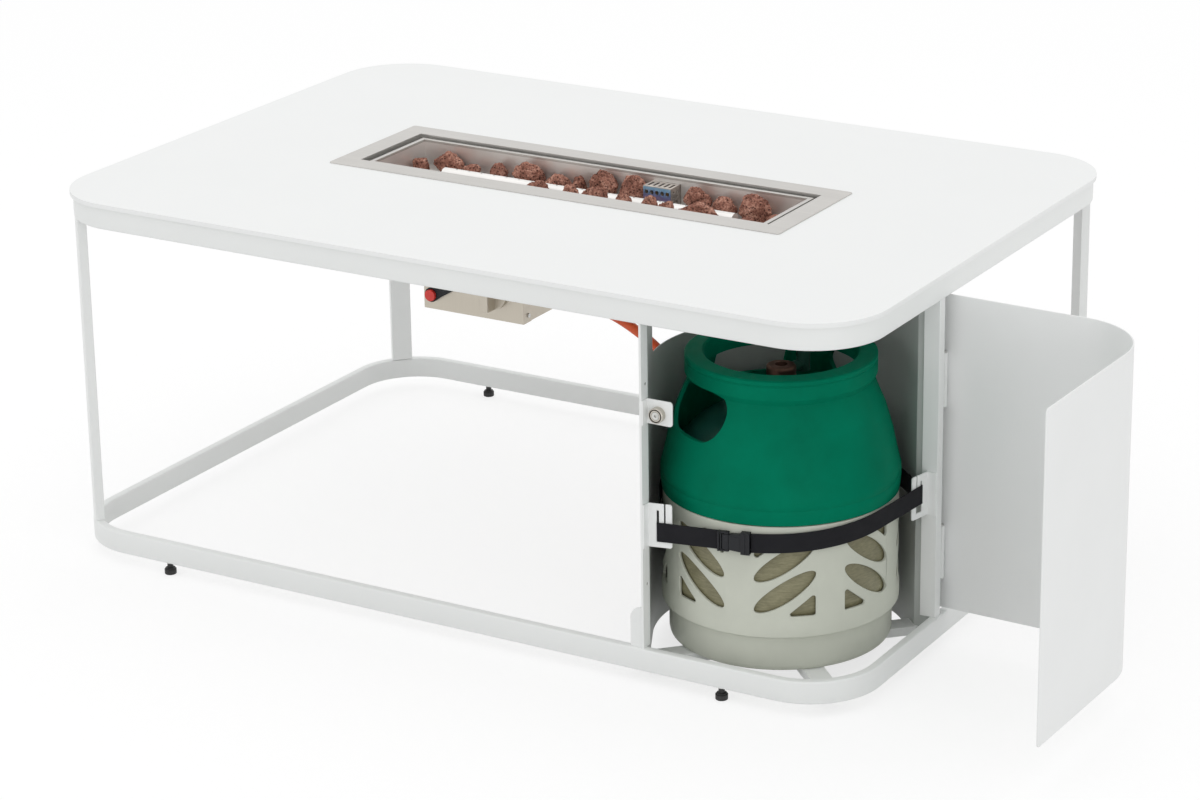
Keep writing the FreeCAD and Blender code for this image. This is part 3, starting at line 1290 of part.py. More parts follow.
def bottle_vessel():
    w = VESSEL_WALL
    r = VESSEL_R
    low_z = BOT_Z + VESSEL_LOW
    high_z = BOT_Z + VESSEL_HIGH
    floor = BOT_Z + JACKET_WALL + 0.5
    neck = BOT_Z + NECK_UP
    top = VALVE_TOP - VALVE_LONG
    low = dome(r, low_z, 0, floor, 8)
    high = dome(r, high_z, NECK_R, neck, 8)
    outer = low[::-1] + high + [(NECK_R, top), (0, top)]
    low_in = dome(r - w, low_z, 0, floor + w, 8)
    high_in = dome(r - w, high_z, 0, neck - w, 8)
    return [lathe(outer, BOT_X, BOT_Y).cut(lathe(low_in[::-1] + high_in, BOT_X, BOT_Y))]


def shroud_slope(inset):
    """Sloping wall from the widest place to the collar's foot."""
    r = SHROUD_R - inset
    z = SHROUD_Z
    return [(r - 5, z + 47), (r - 11, z + 75), (r - 20, z + 106)]


def bottle_shroud():
    w = SHROUD_WALL
    r = SHROUD_R
    z = SHROUD_Z
    top = SHROUD_TOP
    foot = top - COLLAR_H
    neck = COLLAR_R - 5
    outer = [(r - 1.5, z), (r, z + 16), (r - 1.2, z + 19), (r, z + 22), (r - 0.3, z + 28.5)]
    outer += shroud_slope(0)
    outer += [(neck, foot - 8), (COLLAR_R, foot), (COLLAR_R, top - 9.5), (COLLAR_R - 1.0, top - 8),
              (COLLAR_R, top - 6.5), (COLLAR_R, top - 2.5), (COLLAR_R - 2, top - 1), (MOUTH_R + 2, top),
              (MOUTH_R, top - 2), (MOUTH_R, foot), (neck - w, foot - 8)]
    inner = shroud_slope(w)[::-1] + [(r - 1 - w, z + 25.5), (r - 1 - w, z)]
    shell = lathe(outer + inner, BOT_X, BOT_Y)
    holes = [window_tool(WINDOW_AZ + turn, WINDOW_SPAN, WINDOW_Z0, WINDOW_R) for turn in (0, 180)]
    holes.append(window_tool(REAR_AZ, REAR_SPAN, REAR_Z0, REAR_R))
    return [shell.cut(holes).removeSplitter()]


def window_tool(az, span, z0, corner):
    wide = 2 * (SHROUD_R - 18) * math.sin(math.radians(span / 2))
    block = box(SHROUD_R / 2, SHROUD_R + 20, -wide / 2, wide / 2, z0, WINDOW_Z1)
    edges = [e for e in block.Edges if abs(e.tangentAt(e.FirstParameter).x) > 0.9]
    block = block.makeFillet(corner, edges)
    block.rotate(V(0, 0, 0), UP, az)
    block.translate(V(BOT_X, BOT_Y, 0))
    return block


def bottle_valve():
    body = rod(BOT_X, BOT_Y, VALVE_TOP - VALVE_LONG, VALVE_TOP, VALVE_R)
    body = body.makeFillet(4.0, [body.Edges[0]])
    body = body.cut(rod(BOT_X, BOT_Y, VALVE_TOP - VALVE_PORT_D, VALVE_TOP + 1, VALVE_PORT_R))
    return [body]


def regulator():
    lid = rod(REG_X, REG_Y, REG_Z0, REG_Z1, REG_R)
    lid = lid.makeFillet(3.0, [lid.Edges[0], lid.Edges[2]])
    neck = rod(REG_X, REG_Y, REG_PLUG_Z - REG_NECK_R, REG_Z0 + 4, REG_NECK_R)
    d = V(BOT_X - REG_X, BOT_Y - REG_Y, 0)
    reach = d.Length - VALVE_R + 3
    d.normalize()
    start = V(REG_X, REG_Y, REG_PLUG_Z)
    plug = rod_along(start, start.add(V(d).multiply(reach)), REG_PLUG_R)
    plug = plug.cut(rod(BOT_X, BOT_Y, VALVE_TOP - VALVE_LONG, VALVE_TOP + 20, VALVE_R))
    end = V(*HOSE[-1])
    heading = end.sub(V(*HOSE[-2]))
    heading.normalize()
    knee = end.add(V(heading).multiply(REG_STUB_L))
    body = lid.fuse(neck).fuse(plug).fuse(rod_along(end, knee, REG_STUB_R))
    body = body.fuse(Part.makeSphere(REG_STUB_R, knee))
    body = body.fuse(rod_along(knee, V(REG_X, REG_Y, knee.z), REG_STUB_R))
    axle = rod(REG_X, REG_Y, REG_Z1 - 1, REG_Z1 + LEVER_T + 2 * RUN_FIT, AXLE_R)
    return [body.fuse(axle).removeSplitter()]


def regulator_lever():
    z0 = REG_Z1 + RUN_FIT
    z1 = z0 + LEVER_T
    hub = rod(REG_X, REG_Y, z0, z1, LEVER_HUB_R)
    half = LEVER_TIP_R - 1
    arm = box(REG_X, REG_X + LEVER_L, REG_Y - half, REG_Y + half, z0, z1)
    tip = rod(REG_X + LEVER_L, REG_Y, z0, z1, LEVER_TIP_R)
    lever = hub.fuse(arm).fuse(tip).cut(rod(REG_X, REG_Y, z0 - 1, z1 + 1, AXLE_R + PIN_FIT))
    return [lever.removeSplitter()]


# Hose.

def hose_edges():
    """Straight runs joined by tangent arcs through the chosen points."""
    p = [V(*q) for q in HOSE]
    edges = []
    start = p[0]
    for i in range(1, len(p) - 1):
        back = p[i - 1].sub(p[i])
        on = p[i + 1].sub(p[i])
        short = min(back.Length, on.Length)
        back.normalize()
        on.normalize()
        turn = math.pi - back.getAngle(on)
        reach = 0.45 * short
        radius = reach / math.tan(turn / 2)
        a = p[i].add(V(back).multiply(reach))
        b = p[i].add(V(on).multiply(reach))
        inward = back.add(on)
        inward.normalize()
        dist = radius / math.cos(turn / 2) - radius
        mid = p[i].add(V(inward).multiply(dist))
        edges.append(Part.LineSegment(start, a).toShape())
        edges.append(Part.Arc(a, mid, b).toShape())
        start = b
        print("hose bend", i, "turn", round(math.degrees(turn), 1), "radius", round(radius, 1))
    edges.append(Part.LineSegment(start, p[-1]).toShape())
    return edges


def hose_clamps():
    ends = [(V(*HOSE[0]), V(*HOSE[1])), (V(*HOSE[-1]), V(*HOSE[-2]))]
    clamps = []
    for tip, inside in ends:
        d = inside.sub(tip)
        d.normalize()
        a = tip.add(V(d).multiply(CLAMP_BACK))
        b = tip.add(V(d).multiply(CLAMP_BACK + CLAMP_W))
        ring = rod_along(a, b, HOSE_R + CLAMP_T + CLAMP_FIT)
        bore = rod_along(a.sub(d), b.add(d), HOSE_R + CLAMP_FIT)
        clamps.append(ring.cut(bore))
    return clamps


# Door.

def opened(shape):
    """Turn a piece from the shut door to where the door stands open."""
    turned = shape.copy()
    turned.rotate(V(HINGE_X, HINGE_Y, 0), UP, REST_OPEN)
    return turned


def door_panel():
    z0 = DOOR_Z0
    z1 = DOOR_Z1
    t = DOOR_T
    cx = DOOR_X - DOOR_R
    cy = DOOR_Y + DOOR_R
    side = box(DOOR_X - t, DOOR_X, cy, HINGE_Y + DOOR_REAR, z0, z1)
    bend = sector(cx, cy, DOOR_R - t, DOOR_R, -90, 0, z0, z1)
    front = box(DOOR_FREE_X, cx, DOOR_Y, DOOR_Y + t, z0, z1)
    ends = [e for e in front.Edges if abs(e.CenterOfMass.x - DOOR_FREE_X) < 0.01
            and abs(e.tangentAt(e.FirstParameter).y) > 0.9]
    front = front.makeFillet(DOOR_CORNER, ends)
    rear = [e for e in side.Edges if abs(e.CenterOfMass.y - HINGE_Y - DOOR_REAR) < 0.01
            and abs(e.tangentAt(e.FirstParameter).x) > 0.9]
    side = side.makeFillet(DOOR_CORNER_REAR, rear)
    return [opened(side.fuse(bend).fuse(front).removeSplitter())]


def door_striker():
    y = DOOR_Y + DOOR_T
    disc = rod_y(MAGNET_X, MAGNET_Z, y, y + STRIKER_T, STRIKER_R)
    return [opened(disc.makeFillet(0.8, [disc.Edges[0]]))]


def hinge_heights():
    return (DOOR_Z0 + HINGE_UP, DOOR_Z1 - HINGE_DOWN)


def hinge_fixed_leaves():
    leaves = []
    x1 = POST_B_X1 - POST_B_T
    x0 = x1 - LEAF_T
    y0 = POST_B_Y0 + POST_B_T
    edge = HINGE_Y - KNUCKLE_R - LEAF_GAP
    for z0 in hinge_heights():
        z1 = z0 + HINGE_SPLIT - HINGE_GAP
        plate = box(x0, x1, y0, edge, z0, z0 + HINGE_L)
        tongue = box(x0, x1, edge - 1, HINGE_Y, z0, z1)
        barrel = rod(HINGE_X, HINGE_Y, z0, z1, KNUCKLE_R)
        leaf = plate.fuse(tongue).fuse(barrel)
        leaf = leaf.cut(rod(HINGE_X, HINGE_Y, z0 - 1, z1 + 1, PIN_R + PIN_FIT))
        leaves.append(leaf.removeSplitter())
    return leaves


def hinge_door_leaves():
    leaves = []
    x1 = DOOR_X - DOOR_T
    x0 = x1 - LEAF_T
    for z0 in hinge_heights():
        z1 = z0 + HINGE_L
        low = z0 + HINGE_SPLIT
        plate = box(x0, x1, HINGE_Y + 2, HINGE_Y + DOOR_REAR, z0, z1)
        tongue = box(HINGE_X, x1, HINGE_Y, HINGE_Y + 3.5, low, z1)
        barrel = rod(HINGE_X, HINGE_Y, low, z1, KNUCKLE_R)
        leaf = plate.fuse(tongue).fuse(barrel)
        leaf = leaf.cut(rod(HINGE_X, HINGE_Y, low - 1, z1 + 1, PIN_R + PIN_FIT))
        leaves.append(opened(leaf.removeSplitter()))
    return leaves


def hinge_pins():
    pins = []
    for z0 in hinge_heights():
        z1 = z0 + HINGE_L
        head_z = z1 + RUN_FIT
        pin = rod(HINGE_X, HINGE_Y, z0 - PIN_HEAD_T, head_z, PIN_R)
        foot_cap = rod(HINGE_X, HINGE_Y, z0 - PIN_HEAD_T, z0, PIN_HEAD_R)
        head = rod(HINGE_X, HINGE_Y, head_z, head_z + PIN_HEAD_T, PIN_HEAD_R)
        pins.append(pin.fuse(foot_cap).fuse(head).removeSplitter())
    return pins


def main():
    os.makedirs("parts", exist_ok=True)
    edges = hose_edges()
    path = Part.Wire(edges)
    hose = round_tube(edges, HOSE_R)
    print("hose length", round(path.Length, 1), "volume", round(hose.Volume),
          "section times length", round(math.pi * HOSE_R ** 2 * path.Length))
    corners = {"front_left": (-1, -1), "back_left": (-1, 1), "back_right": (1, 1), "front_right": (1, -1)}
    save("table_top", [table_top()])
    save("top_tabs", top_tabs())
    save("top_screws", top_screws())
    save("upper_long_rails", long_rails(HIGH_Z0, False))
    save("lower_long_rails", long_rails(LOW_Z0, True))
    save("short_rails", short_rails(HIGH_Z0) + short_rails(LOW_Z0))
    save("corner_bends", corner_bends(HIGH_Z0) + corner_bends(LOW_Z0))
    save("legs", leg(-1, -1) + leg(-1, 1) + leg(1, 1))
    for name, (sx, sy) in corners.items():
        save("foot_" + name, foot(sx, sy))
    save("foot_nuts", foot_nuts())
    save("burner_casing", burner_casing())
    save("burner_tray", burner_tray())
    save("burner_supports", tray_standoffs() + pipe_saddles())
    save("burner_pipe", burner_pipe())
    save("supply_pipe", supply_pipe())
    save("pilot_hood", pilot_hood())
    save("pilot_parts", pilot_burner() + pilot_probes())
    save("lava_rocks", lava_rocks())
    save("control_box", control_box())
    save("box_front", box_front())
    save("box_screws", box_screws())
    save("igniter_housing", button_bezel() + igniter_body())
    save("igniter_button", igniter_button())
    save("control_knob", control_knob())
    save("valve_body", valve_body())
    save("inlet_fitting", inlet_fitting())
    save("latch_post", [drill_latch_post(latch_post()[0])])
    save("post_gusset", post_gusset())
    save("hinge_post", hinge_post())
    save("bottle_bar_long", bottle_bar_long())
    save("bottle_bar_short", bottle_bar_short())
    save("inner_panel", inner_panel(path))
    save("panel_screws", panel_screws())
    save("hose_grommet", hose_grommet(path))
    save("latch_tab", latch_tab())
    save("latch_magnet", latch_magnet())
    save("latch_screw", latch_screw())
    save("bracket_left", bracket_left())
    save("bracket_right", bracket_right())
    save("strap_tail", strap_tail())
    save("strap_front", strap_front())
    save("strap_back", strap_back())
    save("buckle_socket", buckle_socket())
    save("buckle_plug", buckle_plug())
    save("bottle_jacket", bottle_jacket())
    save("bottle_vessel", bottle_vessel())
    save("bottle_shroud", bottle_shroud())
    save("bottle_valve", bottle_valve())
    save("regulator", regulator())
    save("regulator_lever", regulator_lever())
    save("gas_hose", [hose])
    save("hose_clamps", hose_clamps())
    save("door_panel", door_panel())
    save("door_striker", door_striker())
    save("hinge_fixed_leaves", hinge_fixed_leaves())
    save("hinge_door_leaves", hinge_door_leaves())
    save("hinge_pins", hinge_pins())


main()
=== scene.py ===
import bmesh
import bpy
import json
import math
import random
from mathutils import Matrix, Vector, noise


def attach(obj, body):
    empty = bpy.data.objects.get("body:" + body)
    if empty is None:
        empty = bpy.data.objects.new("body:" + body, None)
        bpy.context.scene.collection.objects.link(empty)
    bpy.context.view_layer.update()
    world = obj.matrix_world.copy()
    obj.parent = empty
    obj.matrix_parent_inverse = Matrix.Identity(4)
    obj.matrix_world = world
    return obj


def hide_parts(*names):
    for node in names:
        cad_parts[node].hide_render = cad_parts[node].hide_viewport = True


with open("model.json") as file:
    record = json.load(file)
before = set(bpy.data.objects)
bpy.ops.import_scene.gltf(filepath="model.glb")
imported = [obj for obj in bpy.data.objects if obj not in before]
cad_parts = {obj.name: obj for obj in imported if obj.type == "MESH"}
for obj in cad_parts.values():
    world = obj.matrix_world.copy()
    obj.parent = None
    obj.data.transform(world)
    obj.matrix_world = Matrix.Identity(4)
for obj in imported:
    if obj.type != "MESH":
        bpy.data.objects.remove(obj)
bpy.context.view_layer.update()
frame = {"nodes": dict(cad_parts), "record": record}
nodes = frame["nodes"]
body_of = {n: b for b, ns in frame["record"]["behaviour"]["bodies"].items() for n in ns}
slot_of = {s["node"]: s["material_slot"] for s in frame["record"]["subparts"]}


# Camera, as fitted to the photograph of 1200 x 800 pixels.

CAMERA_ANGLES = (27.989, 18.770, 0.112)      # azimuth, elevation and roll in degrees
CAMERA_PLACE = (2.359704, -3.902504, 1.851709)
PHOTO_WIDE, PHOTO_HIGH = 1200.0, 800.0
FOCAL_PX = 3539.714
AXIS_PX = (775.307, 323.671)                 # where the lens looks straight ahead
SENSOR_WIDE = 36.0


def add_camera():
    az, el, roll = (math.radians(a) for a in CAMERA_ANGLES)
    back = Vector((math.sin(az) * math.cos(el), -math.cos(az) * math.cos(el), math.sin(el)))
    right = Vector((math.cos(az), math.sin(az), 0))
    up = back.cross(right)
    rolled_right = right * math.cos(roll) + up * math.sin(roll)
    rolled_up = up * math.cos(roll) - right * math.sin(roll)
    data = bpy.data.cameras.new("camera")
    cam = bpy.data.objects.new("camera", data)
    turn = Matrix((rolled_right, rolled_up, back)).transposed()
    cam.matrix_world = Matrix.Translation(CAMERA_PLACE) @ turn.to_4x4()
    data.sensor_width = SENSOR_WIDE
    data.lens = SENSOR_WIDE * FOCAL_PX / PHOTO_WIDE
    data.shift_x = -(AXIS_PX[0] - PHOTO_WIDE / 2) / PHOTO_WIDE
    data.shift_y = (AXIS_PX[1] - PHOTO_HIGH / 2) / PHOTO_WIDE
    data.clip_end = 100
    bpy.context.scene.collection.objects.link(cam)
    bpy.context.scene.camera = cam


add_camera()


# Materials.

class Mat:
    """A Principled material with a short way to add nodes."""

    def __init__(self, name, rough=0.5, metallic=0.0, **sockets):
        self.mat = bpy.data.materials.new(name)
        self.mat.use_nodes = True
        self.tree = self.mat.node_tree
        self.bsdf = self.tree.nodes["Principled BSDF"]
        self.bsdf.inputs["Roughness"].default_value = rough
        self.bsdf.inputs["Metallic"].default_value = metallic
        for key, value in sockets.items():
            self.bsdf.inputs[key.replace("_", " ")].default_value = value
        self.coord = self.add("ShaderNodeTexCoord").outputs["Object"]

    def add(self, kind, **values):
        node = self.tree.nodes.new(kind)
        for key, value in values.items():
            setattr(node, key, value)
        return node

    def link(self, a, b):
        self.tree.links.new(a, b)

    def stretched(self, scale, rotation=(0, 0, 0)):
        m = self.add("ShaderNodeMapping")
        m.inputs["Scale"].default_value = scale
        m.inputs["Rotation"].default_value = rotation
        self.link(self.coord, m.inputs["Vector"])
        return m.outputs["Vector"]

    def noise(self, scale, detail=4.0, rough=0.55, vector=None):
        n = self.add("ShaderNodeTexNoise")
        n.inputs["Scale"].default_value = scale
        n.inputs["Detail"].default_value = detail
        n.inputs["Roughness"].default_value = rough
        self.link(vector or self.coord, n.inputs["Vector"])
        return n.outputs["Fac"]

    def voronoi(self, scale):
        n = self.add("ShaderNodeTexVoronoi")
        n.inputs["Scale"].default_value = scale
        self.link(self.coord, n.inputs["Vector"])
        return n.outputs["Distance"]

    def wave(self, scale, direction):
        n = self.add("ShaderNodeTexWave", bands_direction=direction)
        n.inputs["Scale"].default_value = scale
        self.link(self.coord, n.inputs["Vector"])
        return n.outputs["Fac"]

    def ramp(self, fac, stops):
        n = self.add("ShaderNodeValToRGB")
        ramp = n.color_ramp
        while len(ramp.elements) < len(stops):
            ramp.elements.new(0.5)
        for element, (place, colour) in zip(ramp.elements, stops):
            element.position = place
            element.color = (*colour, 1.0)
        self.link(fac, n.inputs["Fac"])
        return n.outputs["Color"]

    def axes(self):
        """Object space x, y and z as three outputs."""
        n = self.add("ShaderNodeSeparateXYZ")
        self.link(self.coord, n.inputs[0])
        return n.outputs

    def maths(self, operation, a, b):
        n = self.add("ShaderNodeMath", operation=operation)
        for socket, value in zip(n.inputs, (a, b)):
            if isinstance(value, (int, float)):
                socket.default_value = value
            else:
                self.link(value, socket)
        return n.outputs[0]

    def span(self, fac, low, high):
        n = self.add("ShaderNodeMapRange")
        n.inputs["To Min"].default_value = low
        n.inputs["To Max"].default_value = high
        self.link(fac, n.inputs["Value"])
        return n.outputs["Result"]

    def mix(self, fac, a, b):
        n = self.add("ShaderNodeMix", data_type="RGBA")
        self.link(fac, n.inputs[0])
        self.link(a, n.inputs[6])
        self.link(b, n.inputs[7])
        return n.outputs[2]

    def colour(self, output):
        self.link(output, self.bsdf.inputs["Base Color"])

    def rough(self, output):
        self.link(output, self.bsdf.inputs["Roughness"])

    def bump(self, height, strength, distance):
        n = self.add("ShaderNodeBump")
        n.inputs["Strength"].default_value = strength
        n.inputs["Distance"].default_value = distance
        self.link(height, n.inputs["Height"])
        self.link(n.outputs["Normal"], self.bsdf.inputs["Normal"])


def shade(colour, factor):
    return tuple(min(1.0, v * factor) for v in colour)


def powder_coat(name, colour, rough=0.5, spread=0.02):
    m = Mat(name, rough)
    cloud = m.noise(6.0, 5.0)
    m.colour(m.ramp(cloud, [(0.3, shade(colour, 1 - spread)), (0.7, shade(colour, 1 + spread / 2))]))
    m.rough(m.span(m.noise(40.0), rough - 0.06, rough + 0.06))
    m.bump(m.noise(1400.0, 2.0), 0.10, 0.0003)
    return m.mat


def brushed(name, colour, rough, scale, spread=0.10):
    """Steel with a fine grain, which the three scales stretch along one axis."""
    m = Mat(name, rough, 1.0, Anisotropic=0.4)
    grain = m.noise(1.0, 4.0, 0.7, m.stretched(scale))
    cloud = m.noise(9.0, 3.0)
    both = m.maths("ADD", m.maths("MULTIPLY", grain, 0.7), m.maths("MULTIPLY", cloud, 0.3))
    plain = m.ramp(both, [(0.3, shade(colour, 1 - spread)), (0.7, shade(colour, 1 + spread))])
    m.colour(plain)
    m.rough(m.span(grain, rough - 0.08, rough + 0.12))
    m.bump(grain, 0.12, 0.0002)
    m.plain = plain
    return m


def within(m, low, high):
    """1 inside a box in object space, 0 outside."""
    axes = m.axes()
    inside = 1.0
    for k in range(3):
        above = m.maths("GREATER_THAN", axes[k], low[k])
        below = m.maths("LESS_THAN", axes[k], high[k])
        both = m.maths("MULTIPLY", above, below)
        inside = m.maths("MULTIPLY", both, inside)
    return inside


HOOD = ((0.065, 0.034, 0.466), (0.109, 0.062, 0.5002))
HOOD_FRONT = ((0.065, 0.034, 0.466), (0.109, 0.0358, 0.4992))
HOOD_LOW = 0.474
TROUGH = ((-0.33, -0.09, 0.40), (0.33, 0.09, 0.5045))


def burner_steel():
    """Brushed steel, paler inside the trough, with a blue heat tint on the pilot's hood."""
    m = brushed("burner_brushed", (0.60, 0.585, 0.56), 0.40, (4, 500, 500))
    m.bsdf.inputs["Metallic"].default_value = 0.8
    hood = within(m, *HOOD)
    front = within(m, *HOOD_FRONT)
    patchy = m.span(m.noise(160.0, 3.0), 0.65, 1.0)
    up = m.maths("MULTIPLY", m.maths("SUBTRACT", m.axes()[2], HOOD_LOW), 40.0)
    heat = m.maths("ADD", up, m.span(m.noise(110.0, 4.0), -0.25, 0.25))
    tint = m.ramp(heat, [(0.15, (0.30, 0.20, 0.30)), (0.45, (0.20, 0.17, 0.42)),
                         (0.7, (0.12, 0.24, 0.50)), (0.95, (0.20, 0.42, 0.62))])
    bronze = m.ramp(m.noise(60.0, 4.0), [(0.35, (0.30, 0.26, 0.24)), (0.65, (0.58, 0.52, 0.46))])
    trough = within(m, *TROUGH)
    pale = m.ramp(m.noise(9.0, 3.0), [(0.3, (0.80, 0.785, 0.76)), (0.7, (0.92, 0.905, 0.88))])
    steel = m.mix(trough, m.plain, pale)
    mixed = m.mix(m.maths("MULTIPLY", hood, patchy), steel, bronze)
    m.colour(m.mix(m.maths("MULTIPLY", front, patchy), mixed, tint))
    return m.mat


def plain_metal(name, colour, rough):
    m = Mat(name, rough, 1.0)
    cloud = m.noise(120.0, 4.0)
    m.colour(m.ramp(cloud, [(0.3, shade(colour, 0.85)), (0.7, shade(colour, 1.08))]))
    m.rough(m.span(m.noise(300.0), rough - 0.08, rough + 0.1))
    m.bump(m.noise(900.0, 3.0), 0.08, 0.0002)
    return m.mat


def moulded(name, colour, rough, spread=0.08, grain=700.0, specular=0.5):
    m = Mat(name, rough)
    m.bsdf.inputs["Specular IOR Level"].default_value = specular
    cloud = m.noise(14.0, 5.0, 0.6)
    m.colour(m.ramp(cloud, [(0.25, shade(colour, 1 - spread)), (0.75, shade(colour, 1 + spread))]))
    m.rough(m.span(m.noise(60.0, 4.0), rough - 0.08, rough + 0.08))
    m.bump(m.noise(grain, 3.0), 0.12, 0.0003)
    return m.mat


# Box over the vessel's top, where a dark green painted shade stands in for the shade seen through the
# hand holes.
BOTTLE_TOP_SHADE = ((0.2, -0.4, 0.26), (0.6, 0.0, 0.5))


def vessel_material():
    """Wound fibres, with painted shade in dark green on the vessel's top that shows in the hand holes."""
    m = Mat("wound_vessel", 0.4, Coat_Weight=0.2, Coat_Roughness=0.25)
    m.bsdf.inputs["Specular IOR Level"].default_value = 0.3
    strands = m.noise(1.0, 5.0, 0.7, m.stretched((90, 90, 520), (0.45, 0.3, 0.0)))
    cloud = m.noise(16.0, 6.0, 0.65)
    both = m.maths("ADD", m.maths("MULTIPLY", strands, 0.5), m.maths("MULTIPLY", cloud, 0.5))
    wound = m.ramp(both, [(0.30, (0.12, 0.11, 0.06)), (0.52, (0.235, 0.22, 0.13)),
                          (0.75, (0.37, 0.35, 0.23))])
    # Painted shade: the vessel's top is coloured dark green, though it is wound like the rest.
    top_shade = m.ramp(both, [(0.30, (0.010, 0.075, 0.055)), (0.75, (0.018, 0.110, 0.085))])
    m.colour(m.mix(within(m, *BOTTLE_TOP_SHADE), wound, top_shade))
    m.rough(m.span(cloud, 0.3, 0.5))
    m.bump(strands, 0.2, 0.0004)
    return m.mat


def webbing_material():
    m = Mat("strap_webbing", 0.8)
    m.bsdf.inputs["Specular IOR Level"].default_value = 0.25
    weft = m.wave(520.0, "Z")
    warp = m.wave(260.0, "DIAGONAL")
    weave = m.maths("MULTIPLY", weft, warp)
    m.colour(m.ramp(weave, [(0.0, (0.006, 0.006, 0.008)), (1.0, (0.022, 0.022, 0.027))]))
    m.rough(m.span(m.noise(80.0), 0.7, 0.9))
    m.bump(weave, 0.5, 0.0004)
    return m.mat


def hose_material():
    m = Mat("hose_rubber", 0.38)
    cloud = m.noise(25.0, 4.0)
    m.colour(m.ramp(cloud, [(0.3, (0.60, 0.070, 0.014)), (0.7, (0.76, 0.105, 0.022))]))
    m.rough(m.span(m.noise(90.0), 0.3, 0.5))
    m.bump(m.noise(500.0, 3.0), 0.1, 0.0003)
    return m.mat


def rock_material():
    m = Mat("lava", 0.9)
    m.bsdf.inputs["Specular IOR Level"].default_value = 0.2
    cloud = m.noise(55.0, 8.0, 0.75)
    fine = m.noise(420.0, 5.0, 0.7)
    pits = m.ramp(m.voronoi(260.0), [(0.12, (0.0, 0.0, 0.0)), (0.42, (1.0, 1.0, 1.0))])
    tone = m.maths("ADD", m.maths("MULTIPLY", cloud, 0.6), m.maths("MULTIPLY", fine, 0.4))
    skin = m.ramp(tone, [(0.38, (0.11, 0.045, 0.032)), (0.50, (0.36, 0.160, 0.115)),
                         (0.62, (0.74, 0.42, 0.32))])
    # Painted shade: the pits are coloured near-black for the shade inside them.
    pit_shade = m.ramp(cloud, [(0.3, (0.035, 0.018, 0.014)), (0.7, (0.15, 0.06, 0.045))])
    m.colour(m.mix(pits, pit_shade, skin))
    height = m.maths("ADD", m.maths("MULTIPLY", pits, 0.7), m.maths("MULTIPLY", fine, 0.6))
    m.bump(height, 0.8, 0.003)
    return m.mat


MAGNET = Vector((331.6, -390, 357)) / 1000       # back of the magnet, which faces the front


def magnet_material():
    """Nickel with two rings of painted shade, over the central countersink and over the groove, by the
    distance from the magnet's axis in centimetres.
    """
    m = Mat("nickel", 0.3, 1.0)
    axes = m.axes()
    x = m.maths("SUBTRACT", axes[0], MAGNET.x)
    z = m.maths("SUBTRACT", axes[2], MAGNET.z)
    r = m.maths("SQRT", m.maths("ADD", m.maths("MULTIPLY", x, x), m.maths("MULTIPLY", z, z)), 0.0)
    rings = m.maths("MULTIPLY", r, 100.0)
    plain = (0.56, 0.53, 0.47)
    dark = (0.10, 0.09, 0.08)
    # The dark stops are painted shade in the countersink and in the groove.
    m.colour(m.ramp(rings, [(0.50, dark), (0.56, plain), (0.68, plain),
                            (0.72, dark), (0.84, dark), (0.88, plain)]))
    m.rough(m.span(m.noise(300.0), 0.25, 0.4))
    m.bump(m.noise(900.0, 3.0), 0.08, 0.0002)
    return m.mat


WHITE = (0.87, 0.885, 0.875)

# One material for each slot of the record.
materials = {
    "table_top": powder_coat("top_coat", (0.90, 0.91, 0.905), 0.55, 0.006),
    "frame": powder_coat("frame_coat", WHITE, 0.45, 0.015),
    "bay_metal": powder_coat("bay_coat", WHITE, 0.42, 0.02),
    "door_metal": powder_coat("door_coat", (0.87, 0.88, 0.875), 0.42, 0.02),
    # The inner panel is white like the bay; its grey-green coat is painted shade with a painted green
    # reflection of the bottle.
    "panel_metal": powder_coat("panel_coat_shaded", (0.50, 0.525, 0.505), 0.5, 0.04),
    "burner_steel": burner_steel(),
    "box_steel": brushed("box_brushed", (0.56, 0.515, 0.44), 0.40, (500, 500, 6), 0.05).mat,
    "fastener": plain_metal("zinc", (0.62, 0.62, 0.60), 0.35),
    "brass": plain_metal("brass", (0.66, 0.48, 0.25), 0.35),
    "bronze": plain_metal("bronze", (0.17, 0.095, 0.07), 0.5),
    "black_plastic": moulded("black_moulding", (0.012, 0.013, 0.016), 0.42, 0.2, 700.0, 0.3),
    "red_plastic": moulded("red_moulding", (0.75, 0.045, 0.035), 0.3, 0.06),
    "green_plastic": moulded("green_moulding", (0.0, 0.175, 0.096), 0.5, 0.14, 500.0, 0.03),
    "green_dark": moulded("dark_green_moulding", (0.008, 0.06, 0.04), 0.5, 0.15),
    "grey_plastic": moulded("grey_moulding", (0.59, 0.61, 0.53), 0.5, 0.05, 500.0, 0.25),
    "vessel": vessel_material(),
    "webbing": webbing_material(),
    "hose": hose_material(),
    "rubber": moulded("black_rubber", (0.02, 0.02, 0.02), 0.7, 0.2),
    "magnet": magnet_material(),
    "rock": rock_material(),
    "glide": moulded("black_glide", (0.018, 0.018, 0.018), 0.55, 0.2),
}


def dress(obj, slot):
    """Give every face of an object the slot's material."""
    obj.data.materials.clear()
    obj.data.materials.append(materials[slot])
    for p in getattr(obj.data, "polygons", ()):
        p.material_index = 0


for name, obj in nodes.items():
    for place in obj.material_slots:
        place.material = materials[slot_of[name]]
    if not obj.material_slots:
        obj.data.materials.append(materials[slot_of[name]])


# Meshes.

def put(name, mesh, slot, body, *stands_for):
    """A mesh as an object that moves with a body, in place of the named nodes."""
    obj = bpy.data.objects.new(name, mesh)
    bpy.context.scene.collection.objects.link(obj)
    dress(obj, slot)
    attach(obj, body)
    if stands_for:
        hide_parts(*stands_for)
    return obj


